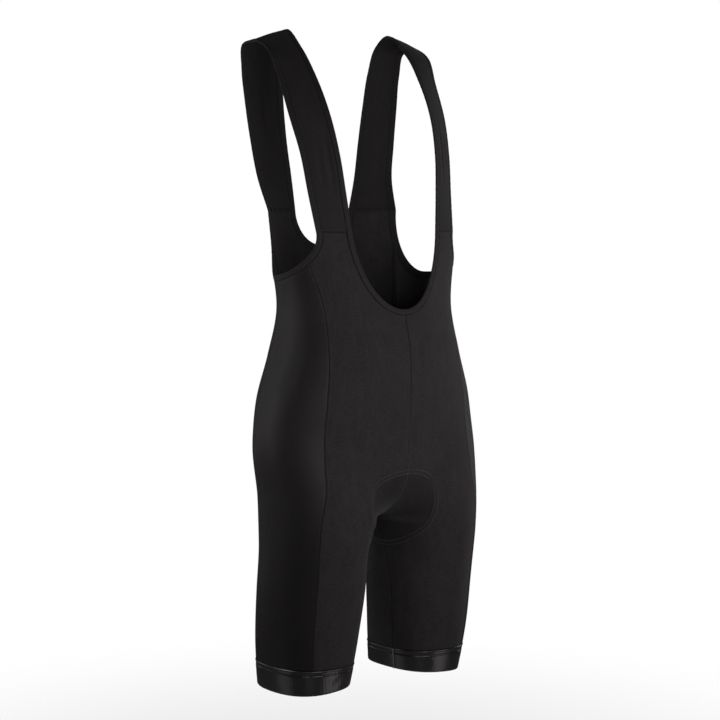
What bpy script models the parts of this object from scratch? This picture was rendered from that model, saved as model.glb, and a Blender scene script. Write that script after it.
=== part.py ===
"""Cycling bib shorts, filled out as if worn, with no wearer.

Metres, +Z up, the chest faces -Y and the garment's own left is +X.
The origin lies between the undersides of the two straps, on top of the shoulders.

The cloth is one smooth skin, cut into panels along its seams:
  skin()   the body and legs, from tables of sections;
  strap()  a shoulder strap, from a table of its two edges.
Each panel is a wall between the skin and the same skin moved in by the cloth's thickness.
The left half is worked out and the right half is its mirror image.
"""
import bmesh
import bpy
from math import cos, pi, radians, sin
from mathutils import Vector

NAME = "cycling_bib_shorts"

# Cloth, seams and edges
CLOTH = 0.0014            # thickness of the knitted panels
SEAM_GAP = 0.0003         # between two pieces at a seam
BINDING_WIDTH = 0.0075    # finished width of the neck and armhole edges
BINDING_PROUD = 0.0004    # the binding stands this far out of the cloth on each face
BAND_PROUD = 0.0003       # so does the leg band, on its outer face
BAND_CLOTH = 0.0018
HEM = -0.857              # lower edge of the legs, on the outer side
HEM_SLANT = 0.0076        # it is this much higher on the inner side
BAND_TOP = -0.8205        # where a leg band is sewn on
MIDDLE_Y = -0.058         # the plane of the side seams, behind the front edge of the shoulders

# Body sections from the top down, with depths in front of the middle plane and behind it
TORSO = (
    {"height": -0.166, "half_width": 0.1580, "front": 0.0580, "back": 0.1040},
    {"height": -0.236, "half_width": 0.1500, "front": 0.0655, "back": 0.1030},
    {"height": -0.296, "half_width": 0.1385, "front": 0.0735, "back": 0.0970},
    {"height": -0.356, "half_width": 0.1310, "front": 0.0810, "back": 0.0930},
    {"height": -0.416, "half_width": 0.1415, "front": 0.0930, "back": 0.1080},
    {"height": -0.476, "half_width": 0.1605, "front": 0.0935, "back": 0.1150},
    {"height": -0.536, "half_width": 0.1695, "front": 0.0895, "back": 0.1060},
    {"height": -0.596, "half_width": 0.1655, "front": 0.0960, "back": 0.1000},
)
# Leg sections: inner and outer x, front and back y from the middle plane
LEG = (
    {"height": -0.5260, "inner": 0.0000, "outer": 0.1700, "front": -0.1020, "back": 0.0930},
    {"height": -0.5960, "inner": 0.0000, "outer": 0.1640, "front": -0.0960, "back": 0.0775},
    {"height": -0.6415, "inner": 0.0160, "outer": 0.1620, "front": -0.0875, "back": 0.0733},
    {"height": -0.6660, "inner": 0.0220, "outer": 0.1615, "front": -0.0830, "back": 0.0715},
    {"height": -0.7260, "inner": 0.0225, "outer": 0.1612, "front": -0.0733, "back": 0.0758},
    {"height": -0.7860, "inner": 0.0310, "outer": 0.1570, "front": -0.0628, "back": 0.0778},
    {"height": -0.8570, "inner": 0.0441, "outer": 0.1445, "front": -0.0499, "back": 0.0819},
)
LEG_CORNER = 0.073        # a leg is this much wider at its four soft corners, down at the hem
CORNER_START = -0.700     # which start here
RISE_TOP = -0.540         # the centre line starts to curve in under the body
RISE_END = -0.6415        # and reaches the crotch
RISE_SPAN = RISE_TOP - RISE_END
RISE_DEPTH = 0.104        # height of that curve
LEG_START = -0.493        # the sides start to turn into legs here
LEG_FULL = -0.672         # and are legs here
CROTCH_FADE = 0.12        # the lifted crotch line is level again this far down the leg
CROTCH_SOFTEN = 0.75      # away from the centre line its corner is rounded over this share of the span
CROTCH_SHARP = 0.01       # and on the centre line over this share
ARCH_TURN = radians(22)   # between the legs the gap opens as an arch this wide round each leg
ARCH_HEIGHT = 0.020
DRAWN_IN = 0.010          # the pad draws the centre seam in by this much at the crotch
DRAWN_TURN = radians(28)  # within this angle of it
DRAWN_FRONT = (0.15, 0.60)     # shares of the rise where that starts in front, and is whole
DRAWN_BACK = (0.30, 1.00)      # and behind
DRAWN_END = -0.665        # level on the legs where it is over

# Openings, as angles round the body (0 centre front, 180 centre back) and heights
FRONT_SEAM = -0.2555      # strap seams
BACK_SEAM = -0.228
FRONT_NECK = {"half": radians(28.5), "drop": 0.100}
BACK_NECK = {"half": radians(17.5), "drop": 0.047}
ARMHOLE = {"middle": radians(110), "front": radians(58.5), "back": radians(24), "bottom": -0.312}

# Side seams: height and angle round the body
SIDE_FRONT = (
    {"height": -0.293, "angle": 61.5},
    {"height": -0.346, "angle": 55.0},
    {"height": -0.405, "angle": 50.5},
    {"height": -0.447, "angle": 47.3},
    {"height": -0.489, "angle": 45.3},
    {"height": -0.528, "angle": 46.5},
    {"height": -0.566, "angle": 52.0},
    {"height": -0.621, "angle": 60.5},
    {"height": -0.706, "angle": 61.5},
    {"height": -0.821, "angle": 61.0},
)
SIDE_BACK = (
    {"height": -0.250, "angle": 134.0},
    {"height": -0.346, "angle": 132.0},
    {"height": -0.447, "angle": 130.0},
    {"height": -0.528, "angle": 127.0},
    {"height": -0.621, "angle": 121.0},
    {"height": -0.821, "angle": 119.0},
)
INSEAM_TURN = radians(9)  # the inner leg seam comes forward by this much
INSEAM_FADE = 0.10        # within this height

# The strap's two edges between its seams, from the front over the shoulder: x, y, z
STRAP = (
    {"neck": (0.0752, -0.1125, -0.2060), "arm": (0.1200, -0.0900, -0.2060)},
    {"neck": (0.0800, -0.1055, -0.1560), "arm": (0.1250, -0.0805, -0.1560)},
    {"neck": (0.0840, -0.0910, -0.1060), "arm": (0.1310, -0.0640, -0.1060)},
    {"neck": (0.0860, -0.0640, -0.0560), "arm": (0.1325, -0.0425, -0.0560)},
    {"neck": (0.0865, -0.0340, -0.0180), "arm": (0.1355, -0.0245, -0.0210)},
    {"neck": (0.0830, 0.0060, 0.0095), "arm": (0.1370, 0.0080, -0.0075)},
    {"neck": (0.0785, 0.0235, -0.0060), "arm": (0.1365, 0.0320, -0.0105)},
    {"neck": (0.0725, 0.0315, -0.0390), "arm": (0.1335, 0.0385, -0.0410)},
    {"neck": (0.0670, 0.0365, -0.0860), "arm": (0.1285, 0.0380, -0.0860)},
    {"neck": (0.0605, 0.0385, -0.1360), "arm": (0.1217, 0.0355, -0.1360)},
    {"neck": (0.0530, 0.0380, -0.1860), "arm": (0.1140, 0.0300, -0.1860)},
)
STRAP_BOW = 0.0018        # the strap bulges this much across its width
SEAM_BLEND = 0.06         # share of a strap's length over which it takes the skin's own shape

# Seat pad: outline on the skin, left half
PAD_FRONT = {"top": -0.5575, "bottom": -0.672, "half": radians(28.5)}
PAD_BACK = {"top": -0.500, "bottom": -0.672, "half": radians(40)}
PAD_FLAT_DOWN = 0.028     # in front the cloth over it is flat from this far under its top
PAD_FLAT_ROUND = 0.020    # down to this far over the crotch, and then turns round into the legs
PAD_THICKNESS = 0.006
PAD_EDGE = 0.0015
PAD_CLEARANCE = 0.0022    # between pad and panels, wide enough for their flat facets
PAD_BEVEL = 0.5           # share of the half width over which it thins to its edge
PAD_TIP = 0.25            # and share of the length
PAD_BLUNT = 0.05          # the tip is cut off here
PAD_FAN = 0.25            # share of the columns that turn round the crotch ridge
PAD_FOLD = radians(45)    # where it is this sharp
PAD_BESIDE = 0.02         # the first column takes its direction from this share of the width

# Facets: how many columns and rows each stretch has
NECK_COLUMNS, STRAP_COLUMNS, ARM_COLUMNS, SIDE_COLUMNS, BACK_NECK_COLUMNS = 8, 3, 3, 9, 6
BODY_ROWS, RISE_ROWS, LEG_ROWS = 12, 11, 9
LEG_ROW_POWER = 1.5       # leg rows are closer together at the crotch
STRAP_ROWS = 34
BAND_ROWS = 2
PAD_ROWS, PAD_COLUMNS = 12, 12
SEAM_SAMPLES = 8          # points along a strap seam, to measure its length
STEP = 1e-4               # for slopes taken by small differences
HALVINGS = 40             # of the stretch in which two edges meet

MATERIALS = {             # colour, roughness
    "knit_front": ((0.020, 0.020, 0.021), 0.72),
    "knit_side": ((0.015, 0.015, 0.016), 0.66),
    "knit_strap": ((0.018, 0.018, 0.019), 0.72),
    "binding": ((0.024, 0.024, 0.025), 0.60),
    "leg_band": ((0.012, 0.012, 0.013), 0.38),
    "pad_foam": ((0.030, 0.030, 0.032), 0.85),
}


def smooth_step(x):
    x = min(max(x, 0.0), 1.0)
    return x * x * (3 - 2 * x)


def hermite(places, values, place):
    """The value at a place on a smooth curve through rows at rising places."""
    place = min(max(place, places[0]), places[-1])
    last = len(places) - 2
    row = next((i for i in range(last) if place < places[i + 1]), last)

    def slope(i):
        if i == 0 or i == len(places) - 1:
            a = min(max(i, 1), len(places) - 1)
            return (values[a] - values[a - 1]) / (places[a] - places[a - 1])
        before, after = places[i] - places[i - 1], places[i + 1] - places[i]
        rise_before = (values[i] - values[i - 1]) / before
        rise_after = (values[i + 1] - values[i]) / after
        return (rise_before * after + rise_after * before) / (before + after)

    span = places[row + 1] - places[row]
    s = (place - places[row]) / span
    start, end = values[row], values[row + 1]
    return (start * (2 * s**3 - 3 * s**2 + 1) + slope(row) * span * (s**3 - 2 * s**2 + s)
            + end * (-2 * s**3 + 3 * s**2) + slope(row + 1) * span * (s**3 - s**2))


def section(table, column, height):
    """One column of a table at a height. Tables run from the top down."""
    return hermite([-row["height"] for row in table], [row[column] for row in table], -height)


def rise_area(down):
    """Area under the curve 1 - cos, which carries the centre line in under the body."""
    if down <= 0:
        return 0.0
    if down <= 1:
        return down - 2 / pi * sin(down * pi / 2)
    return down - 2 / pi


def lift_area(down):
    """Area under the height of the centre line above the level of the outer side."""
    if down <= 0:
        return 0.0
    within = min(down, 1.0)
    area = RISE_SPAN * within**2 / 2 - RISE_DEPTH * 2 / pi * (1 - cos(within * pi / 2))
    if down > 1:
        fade = CROTCH_FADE / RISE_SPAN
        left = max(1 - (down - 1) / fade, 0.0)
        area += (RISE_SPAN - RISE_DEPTH) * fade / 3 * (1 - left**3)
    return area


def averaged(area, down, window):
    return (area(down + window) - area(down - window)) / (2 * window)


def leg_gap(turn, level):
    """Distance of the inner leg from the centre plane, an arch that starts at the crotch."""
    gap = section(LEG, "inner", level)
    from_centre = min(abs(turn), abs(turn - pi)) / ARCH_TURN
    if from_centre >= 1:
        return gap
    below = max(RISE_END - level, 0.0) / ARCH_HEIGHT
    return gap * (1 - cos(from_centre * pi / 2) ** 2 * max(1 - below**0.5, 0.0))


def drawn_in(turn, level):
    """How far the pad draws the cloth in along the centre seam, as a step in space."""
    down = (RISE_TOP - level) / RISE_SPAN
    in_front = turn < pi / 2
    start, full = DRAWN_FRONT if in_front else DRAWN_BACK
    fade = smooth_step((level - DRAWN_END) / (RISE_END - DRAWN_END))
    share = smooth_step((down - start) / (full - start)) * fade
    from_centre = min(abs(turn), abs(turn - pi))
    depth = DRAWN_IN * share * max(1 - from_centre / DRAWN_TURN, 0.0)
    tilt = min(max(down, 0.0), 1.0) * pi / 2
    return Vector((0.0, depth * cos(tilt) * (1 if in_front else -1), depth * sin(tilt)))


def soft_skin(turn, level):
    """The left half without the flat cloth over the front of the pad."""
    half_width = section(TORSO, "half_width", level)
    depth = section(TORSO, "front" if cos(turn) > 0 else "back", level)
    body_x = half_width * sin(turn)
    body_y = -depth * cos(turn)

    inner, outer = leg_gap(turn, level), section(LEG, "outer", level)
    front, back = section(LEG, "front", level), section(LEG, "back", level)
    corner = 1 + LEG_CORNER * sin(4 * turn) ** 2 * smooth_step((CORNER_START - level) / (CORNER_START - HEM))
    leg_x = (inner + outer) / 2 - (outer - inner) / 2 * cos(2 * turn) * corner
    leg_y = (front + back) / 2 - (back - front) / 2 * sin(2 * turn) * corner

    # The centre line keeps to the body until the crotch, the sides turn into legs sooner.
    down = (RISE_TOP - level) / RISE_SPAN
    window = max(CROTCH_SOFTEN * sin(2 * turn) ** 2, CROTCH_SHARP)
    centre = cos(2 * turn) ** 2 if turn < pi / 4 or turn > 3 * pi / 4 else 0.0
    side_share = smooth_step((LEG_START - level) / (LEG_START - LEG_FULL))
    share = side_share + (averaged(rise_area, down, window) - side_share) * centre
    lift = averaged(lift_area, down, window)
    point = Vector((
        (1 - share) * body_x + share * leg_x + SEAM_GAP / 2,
        (1 - share) * body_y + share * leg_y + MIDDLE_Y,
        level + lift * centre,
    ))
    return point + drawn_in(turn, level)


def skin(turn, level):
    """A point on the outer face of the left half.

    turn runs from centre front (0) over the side to centre back (pi). On a leg 0 and pi are
    both the inner leg. level is the height on the outer side of the body.
    """
    point = soft_skin(turn, level)
    top, bottom = PAD_FRONT["top"], PAD_FRONT["bottom"]
    if turn > PAD_FRONT["half"] or not bottom < level < top:
        return point
    edge = PAD_FRONT["half"] * (1 - ((2 * level - top - bottom) / (top - bottom)) ** 2) ** 0.5
    across = turn / edge
    if across >= 1:
        return point
    fade = smooth_step((level - RISE_END) / PAD_FLAT_ROUND)
    flat = smooth_step((top - level) / PAD_FLAT_DOWN) * fade
    return point.lerp(soft_skin(0, level).lerp(soft_skin(edge, level), across), flat)


def slopes(surface, a, b):
    """The two directions of a surface at a point."""
    along_a = (surface(a + STEP, b) - surface(a - STEP, b)) / (2 * STEP)
    along_b = (surface(a, b + STEP) - surface(a, b - STEP)) / (2 * STEP)
    return along_a, along_b


def outward(surface, a, b):
    along_a, along_b = slopes(surface, a, b)
    return along_a.cross(along_b).normalized()


def front_neck(phi):
    """Edge of the front neckline: phi 0 at its lowest point, pi/2 at the strap seam."""
    return FRONT_NECK["half"] * sin(phi), FRONT_SEAM - FRONT_NECK["drop"] * cos(phi)


def back_neck(phi):
    return pi - BACK_NECK["half"] * sin(phi), BACK_SEAM - BACK_NECK["drop"] * cos(phi)


def front_armhole(phi):
    """Edge of the armhole: phi 0 at its lowest point, pi/2 at the strap seam."""
    drop = FRONT_SEAM - ARMHOLE["bottom"]
    return ARMHOLE["middle"] - ARMHOLE["front"] * sin(phi), FRONT_SEAM - drop * cos(phi)


def back_armhole(phi):
    drop = BACK_SEAM - ARMHOLE["bottom"]
    return ARMHOLE["middle"] + ARMHOLE["back"] * sin(phi), BACK_SEAM - drop * cos(phi)


def inset(edge, phi, depth):
    """The place on the skin that lies depth inside an edge, measured square to the edge."""
    turn, level = edge(phi)
    turn_next, level_next = edge(phi + STEP)
    turn_last, level_last = edge(phi - STEP)
    along_turn, along_level = slopes(skin, turn, level)
    run = along_turn * (turn_next - turn_last) + along_level * (level_next - level_last)
    normal = along_turn.cross(along_level).normalized()
    into = normal.cross(run).normalized()
    if phi < pi / 4 and into.z > 0:
        into = -into
    if phi >= pi / 4:
        from_opening = 1 if edge in (front_neck, back_armhole) else -1
        if into.dot(along_turn) * from_opening < 0:
            into = -into
    tt, tl, ll = along_turn.dot(along_turn), along_turn.dot(along_level), along_level.dot(along_level)
    it, il = into.dot(along_turn) * depth, into.dot(along_level) * depth
    area = tt * ll - tl * tl
    return turn + (it * ll - il * tl) / area, level + (il * tt - it * tl) / area


def side_front(level):
    return radians(section(SIDE_FRONT, "angle", level))


def side_back(level):
    return radians(section(SIDE_BACK, "angle", level))


def inseam(level):
    return INSEAM_TURN * smooth_step((RISE_END - level) / INSEAM_FADE)


def hem(turn):
    """Height of the legs' lower edge."""
    return HEM + HEM_SLANT * (1 + cos(2 * turn)) / 2


def inseam_behind(level):
    return pi + inseam(level)


def meets(edge, seam, depth):
    """phi where the inset edge crosses a side seam."""
    low, high = 0.0, pi / 2
    towards = 1 if edge is back_armhole else -1
    for _ in range(HALVINGS):
        middle = (low + high) / 2
        turn, level = inset(edge, middle, depth)
        if (turn - seam(level)) * towards > 0:
            high = middle
        else:
            low = middle
    return (low + high) / 2


def spread(start, end, count):
    return [start + (end - start) * i / count for i in range(count + 1)]


def seam_turn(across, seam, neck, arm):
    """The angle on the skin that lies a share of the way across a strap seam."""
    turns = spread(neck, arm, SEAM_SAMPLES)
    points = [skin(turn, seam) for turn in turns]
    lengths = [0.0]
    for here, after in zip(points, points[1:]):
        lengths.append(lengths[-1] + (after - here).length)
    return hermite([length / lengths[-1] for length in lengths], turns, across)


PANEL_INSET = BINDING_WIDTH + SEAM_GAP     # from an edge to the panel inside its binding
FRONT_CROSSING = meets(front_armhole, side_front, PANEL_INSET)
BACK_CROSSING = meets(back_armhole, side_back, PANEL_INSET)
FRONT_NECK_PHIS = spread(0, pi / 2, NECK_COLUMNS)
FRONT_ARM_PHIS = spread(pi / 2, FRONT_CROSSING, ARM_COLUMNS)
SIDE_FRONT_COLUMNS = SIDE_COLUMNS // 2
SIDE_FRONT_PHIS = spread(FRONT_CROSSING, 0, SIDE_FRONT_COLUMNS)
SIDE_BACK_PHIS = spread(0, BACK_CROSSING, SIDE_COLUMNS - SIDE_FRONT_COLUMNS)
BACK_ARM_PHIS = spread(BACK_CROSSING, pi / 2, ARM_COLUMNS)
BACK_NECK_PHIS = spread(pi / 2, 0, BACK_NECK_COLUMNS)


def inset_places(edge, phis):
    return [inset(edge, phi, PANEL_INSET) for phi in phis]


def seam_places(level, neck, arm):
    """Places along a strap seam, between its two bindings, from the neck side."""
    width = (skin(arm, level) - skin(neck, level)).length
    margin = PANEL_INSET / width
    shares = spread(margin, 1 - margin, STRAP_COLUMNS)
    return [(seam_turn(share, level, neck, arm), level - SEAM_GAP / 2) for share in shares]


def front_top():
    """The top edge of the front panel, from the centre to the side seam."""
    neck = inset_places(front_neck, FRONT_NECK_PHIS)[:-1]
    arm = inset_places(front_armhole, FRONT_ARM_PHIS)[1:]
    return neck + seam_places(FRONT_SEAM, front_neck(pi / 2)[0], front_armhole(pi / 2)[0]) + arm


def side_top():
    return inset_places(front_armhole, SIDE_FRONT_PHIS)[:-1] + inset_places(back_armhole, SIDE_BACK_PHIS)


def back_top():
    """The top edge of the back panel, from the side seam to the centre."""
    arm = inset_places(back_armhole, BACK_ARM_PHIS)[:-1]
    neck = inset_places(back_neck, BACK_NECK_PHIS)[1:]
    seam = seam_places(BACK_SEAM, back_neck(pi / 2)[0], back_armhole(pi / 2)[0])
    return arm + seam[::-1] + neck


def panel_places(top, near, far):
    """Rows of (turn, level) that fill a panel from its top edge down to the leg band.

    near and far are its two seams. Rows have the same levels in every panel that meets at a seam.
    """
    lengths = [0.0]
    for here, after in zip(top, top[1:]):
        lengths.append(lengths[-1] + (skin(*after) - skin(*here)).length)
    tops = [(turn - near(level)) / (far(level) - near(level)) for turn, level in top]
    tops[0], tops[-1] = 0.0, 1.0
    below = [(length / lengths[-1] + share) / 2 for length, share in zip(lengths, tops)]
    rows = []
    for k in range(BODY_ROWS + RISE_ROWS + LEG_ROWS + 1):
        row = []
        for column, (_, top_level) in enumerate(top):
            if k <= BODY_ROWS:
                level = top_level + (RISE_TOP - top_level) * k / BODY_ROWS
            elif k <= BODY_ROWS + RISE_ROWS:
                level = RISE_TOP + (RISE_END - RISE_TOP) * (k - BODY_ROWS) / RISE_ROWS
            else:
                down = (k - BODY_ROWS - RISE_ROWS) / LEG_ROWS
                level = RISE_END + (BAND_TOP + SEAM_GAP / 2 - RISE_END) * down ** LEG_ROW_POWER
            fade = smooth_step(k / BODY_ROWS)
            share = tops[column] * (1 - fade) + below[column] * fade
            row.append((near(level) + (far(level) - near(level)) * share, level))
        rows.append(row)
    return rows


def clear_of_seams(rows, near_is_centre=False, far_is_centre=False):
    """Moves a panel's first and last columns half a seam gap into the panel."""
    cleared = []
    for row in rows:
        row = list(row)
        for column, into, centre in ((0, 1, near_is_centre), (-1, -1, far_is_centre)):
            turn, level = row[column]
            if not centre or level <= RISE_END:
                run = slopes(skin, turn, level)[0].length
                row[column] = (turn + into * SEAM_GAP / 2 / run, level)
        cleared.append(row)
    return cleared


def skin_outward(turn, level):
    return outward(skin, turn, level)


def faces_of(surface, direction, rows, out=0.0, thick=CLOTH):
    """Outer and inner points of a wall that follows a surface."""
    outer, inner = [], []
    for row in rows:
        points = [surface(*place) for place in row]
        normals = [direction(*place) for place in row]
        outer.append([p + n * out for p, n in zip(points, normals)])
        inner.append([p + n * (out - thick) for p, n in zip(points, normals)])
    return outer, inner


def add_material(name):
    material = bpy.data.materials.get(name)
    if material:
        return material
    colour, roughness = MATERIALS[name]
    material = bpy.data.materials.new(name)
    material.use_nodes = True
    shader = material.node_tree.nodes["Principled BSDF"]
    shader.inputs["Base Color"].default_value = (*colour, 1)
    shader.inputs["Roughness"].default_value = roughness
    shader.inputs["Metallic"].default_value = 0.0
    material.diffuse_color = (*colour, 1)
    return material


def add_wall(name, outer, inner, material, mirrored=False, ring=False, hoop=False):
    """A closed wall between two grids of points.

    ring joins the last column to the first, hoop joins the last row to the first.
    """
    flip = -1 if mirrored else 1
    mesh_data = bmesh.new()
    grids = []
    for grid in (outer, inner):
        grids.append([[mesh_data.verts.new((flip * p.x, p.y, p.z)) for p in row] for row in grid])
    rows, columns = len(outer), len(outer[0])
    last_row = rows if hoop else rows - 1
    last_column = columns if ring else columns - 1
    for k in range(last_row):
        for j in range(last_column):
            for grid in grids:
                corners = [(k, j), (k + 1, j), (k + 1, j + 1), (k, j + 1)]
                mesh_data.faces.new([grid[a % rows][b % columns] for a, b in corners])
    rims = []
    if not hoop:
        rims += [((0, j), (0, j + 1)) for j in range(last_column)]
        rims += [((rows - 1, j), (rows - 1, j + 1)) for j in range(last_column)]
    if not ring:
        rims += [((k, 0), (k + 1, 0)) for k in range(last_row)]
        rims += [((k, columns - 1), (k + 1, columns - 1)) for k in range(last_row)]
    for (a, b), (c, d) in rims:
        start, end = (a % rows, b % columns), (c % rows, d % columns)
        mesh_data.faces.new([grids[0][start[0]][start[1]], grids[0][end[0]][end[1]],
                             grids[1][end[0]][end[1]], grids[1][start[0]][start[1]]])
    bmesh.ops.recalc_face_normals(mesh_data, faces=mesh_data.faces)
    mesh = bpy.data.meshes.new(name)
    mesh_data.to_mesh(mesh)
    mesh_data.free()
    mesh.materials.append(add_material(material))
    piece = bpy.data.objects.new(name, mesh)
    COLLECTION.objects.link(piece)
    return piece


def add_pair(name, outer, inner, material, **joins):
    add_wall(name + "_left", outer, inner, material, **joins)
    add_wall(name + "_right", outer, inner, material, mirrored=True, **joins)


# The strap

STRAP_NECK_FRONT, STRAP_ARM_FRONT = front_neck(pi / 2)[0], front_armhole(pi / 2)[0]
STRAP_NECK_BACK, STRAP_ARM_BACK = back_neck(pi / 2)[0], back_armhole(pi / 2)[0]
STRAP_EDGES = [
    [skin(front, FRONT_SEAM)] + [Vector(row[side]) for row in STRAP] + [skin(back, BACK_SEAM)]
    for side, front, back in (("neck", STRAP_NECK_FRONT, STRAP_NECK_BACK),
                              ("arm", STRAP_ARM_FRONT, STRAP_ARM_BACK))
]


def strap_places():
    """How far along the strap each station lies, from 0 at the front seam to 1 at the back."""
    middles = [(neck + arm) / 2 for neck, arm in zip(*STRAP_EDGES)]
    lengths = [0.0]
    for here, after in zip(middles, middles[1:]):
        lengths.append(lengths[-1] + (after - here).length)
    return [length / lengths[-1] for length in lengths]


STRAP_PLACES = strap_places()


def strap_edge(side, along):
    points = STRAP_EDGES[side]
    return Vector([hermite(STRAP_PLACES, [p[axis] for p in points], along) for axis in range(3)])


def strap_plain(across, along):
    """A strap with straight cross-lines that bulge a little."""
    neck, arm = strap_edge(0, along), strap_edge(1, along)
    run = strap_edge(0, min(along + STEP, 1)) - strap_edge(0, max(along - STEP, 0))
    normal = (arm - neck).cross(run).normalized()
    return neck.lerp(arm, across) + normal * STRAP_BOW * 4 * across * (1 - across)


STRAP_ENDS = (
    (0.0, FRONT_SEAM, STRAP_NECK_FRONT, STRAP_ARM_FRONT),
    (1.0, BACK_SEAM, STRAP_NECK_BACK, STRAP_ARM_BACK),
)


def strap(across, along):
    """A point on the outer face of the left strap: across 0 neck side to 1 armhole side."""
    point = strap_plain(across, along)
    for end, seam, neck, arm in STRAP_ENDS:
        share = 1 - smooth_step(abs(along - end) / SEAM_BLEND)
        if share > 0:
            on_skin = skin(seam_turn(across, seam, neck, arm), seam)
            point += (on_skin - strap_plain(across, end)) * share
    return point


def strap_outward(across, along):
    """Its direction outwards, which is the skin's own at the two seams."""
    normal = outward(strap, across, along)
    for end, seam, neck, arm in STRAP_ENDS:
        share = 1 - smooth_step(abs(along - end) / SEAM_BLEND)
        if share > 0:
            normal = normal.lerp(outward(skin, seam_turn(across, seam, neck, arm), seam), share)
    return normal.normalized()


def strap_width(along):
    return (strap_edge(1, along) - strap_edge(0, along)).length


def strap_length():
    points = [strap(0.5, along) for along in spread(0, 1, STRAP_ROWS)]
    return sum((b - a).length for a, b in zip(points, points[1:]))


STRAP_GAP = SEAM_GAP / 2 / strap_length()     # half a seam gap, as a share of the length
STRAP_ALONG = [min(max(along, STRAP_GAP), 1 - STRAP_GAP) for along in spread(0, 1, STRAP_ROWS)]


def add_body_panels():
    front = clear_of_seams(panel_places(front_top(), inseam, side_front), near_is_centre=True)
    side = clear_of_seams(panel_places(side_top(), side_front, side_back))
    back = clear_of_seams(panel_places(back_top(), side_back, inseam_behind), far_is_centre=True)
    for name, rows, material in (("front", front, "knit_front"), ("side", side, "knit_side"),
                                 ("back", back, "knit_front")):
        outer, inner = faces_of(skin, skin_outward, rows)
        add_pair(name, outer, inner, material)


def add_leg_bands():
    """Closed tubes whose columns lie under those of the panels."""
    turns = []
    for top, near, far in ((front_top(), inseam, side_front), (side_top(), side_front, side_back),
                           (back_top(), side_back, inseam_behind)):
        turns += [turn for turn, _ in panel_places(top, near, far)[-1]][:-1]
    columns = [spread(BAND_TOP - SEAM_GAP / 2, hem(turn), BAND_ROWS) for turn in turns]
    rows = [[(turn, column[k]) for turn, column in zip(turns, columns)] for k in range(BAND_ROWS + 1)]
    outer, inner = faces_of(skin, skin_outward, rows, out=BAND_PROUD, thick=BAND_CLOTH)
    add_pair("leg_band", outer, inner, "leg_band", ring=True)


def strap_row(along):
    """Places across a strap, between its two bindings."""
    margin = PANEL_INSET / strap_width(along)
    return [(across, along) for across in spread(margin, 1 - margin, STRAP_COLUMNS)]


def add_straps():
    outer, inner = faces_of(strap, strap_outward, [strap_row(along) for along in STRAP_ALONG])
    add_pair("strap", outer, inner, "knit_strap")


def edge_on_skin(edge, phi):
    """The finished edge and the inner side of its binding, with their normals."""
    places = edge(phi), inset(edge, phi, BINDING_WIDTH)
    return [(skin(*place), skin_outward(*place)) for place in places]


def edge_on_strap(across, along):
    share = BINDING_WIDTH / strap_width(along)
    places = (across, along), (abs(across - share), along)
    return [(strap(*place), strap_outward(*place)) for place in places]


def binding_walls(stations):
    outer = [[point + normal * BINDING_PROUD for point, normal in station] for station in stations]
    depth = CLOTH + BINDING_PROUD
    inner = [[point - normal * depth for point, normal in station] for station in stations]
    return outer, inner


def add_bindings():
    straps = spread(0, 1, STRAP_ROWS)
    neck = [edge_on_skin(front_neck, phi) for phi in FRONT_NECK_PHIS[:-1]]
    neck += [edge_on_strap(0.0, along) for along in straps]
    neck += [edge_on_skin(back_neck, phi) for phi in BACK_NECK_PHIS[1:]]
    right = [[(Vector((-p.x, p.y, p.z)), Vector((-n.x, n.y, n.z))) for p, n in station]
             for station in reversed(neck)]
    for station in (neck[0], neck[-1]):        # on the centre line the two halves share a station
        for point, normal in station:
            point.x = normal.x = 0.0
    outer, inner = binding_walls(neck + right[1:-1])
    add_wall("neck_binding", outer, inner, "binding", hoop=True)

    arm = [edge_on_skin(front_armhole, phi) for phi in FRONT_ARM_PHIS[1:] + SIDE_FRONT_PHIS[1:]]
    arm += [edge_on_skin(back_armhole, phi) for phi in SIDE_BACK_PHIS[1:] + BACK_ARM_PHIS[1:-1]]
    arm += [edge_on_strap(1.0, along) for along in reversed(straps)]
    outer, inner = binding_walls(arm)
    add_pair("armhole_binding", outer, inner, "binding", hoop=True)


def pad_place(outline, centre_turn, lengthwise, sideways):
    """A place on the pad: lengthwise 0 at its tip to 1 at the crotch, sideways 0 to 1 at its edge."""
    around = pi * lengthwise
    middle = (outline["top"] + outline["bottom"]) / 2
    half_height = (outline["top"] - outline["bottom"]) / 2
    edge_turn = outline["half"] * sin(around)
    edge_level = middle + half_height * cos(around)
    centre_level = outline["top"] + (RISE_END - outline["top"]) * lengthwise
    turn = edge_turn * sideways
    level = centre_level + (edge_level - centre_level) * sideways
    return (turn if centre_turn == 0 else pi - turn), level


def pad_row(outline, centre_turn, lengthwise):
    """Points across the left half of the pad as (skin point, inward direction, thickness).

    Between the legs the cloth makes a ridge. There the first columns fan out round the ridge,
    and elsewhere they lie side by side.
    """
    beside = -skin_outward(*pad_place(outline, centre_turn, lengthwise, PAD_BESIDE))
    middle = Vector((0.0, beside.y, beside.z))
    middle = middle.normalized() if lengthwise < 1 else Vector((0.0, 0.0, 1.0))
    fold = smooth_step(middle.angle(beside) / PAD_FOLD)
    full = PAD_EDGE + (PAD_THICKNESS - PAD_EDGE) * smooth_step(lengthwise / PAD_TIP)
    row = []
    for across in spread(0, 1, PAD_COLUMNS):
        past_fan = max(across - PAD_FAN, 0.0) / (1 - PAD_FAN)
        sideways = across + (past_fan - across) * fold
        place = pad_place(outline, centre_turn, lengthwise, max(sideways, PAD_BESIDE * fold))
        straight_in = -skin_outward(*pad_place(outline, centre_turn, lengthwise, max(sideways, PAD_BESIDE)))
        direction = middle.slerp(straight_in, min(across / PAD_FAN, 1.0)) if across else middle
        thick = PAD_EDGE + (full - PAD_EDGE) * smooth_step((1 - across) / PAD_BEVEL)
        point = skin(*place)
        if not across:
            point.x = 0.0
        row.append((point, direction, thick))
    return row


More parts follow.
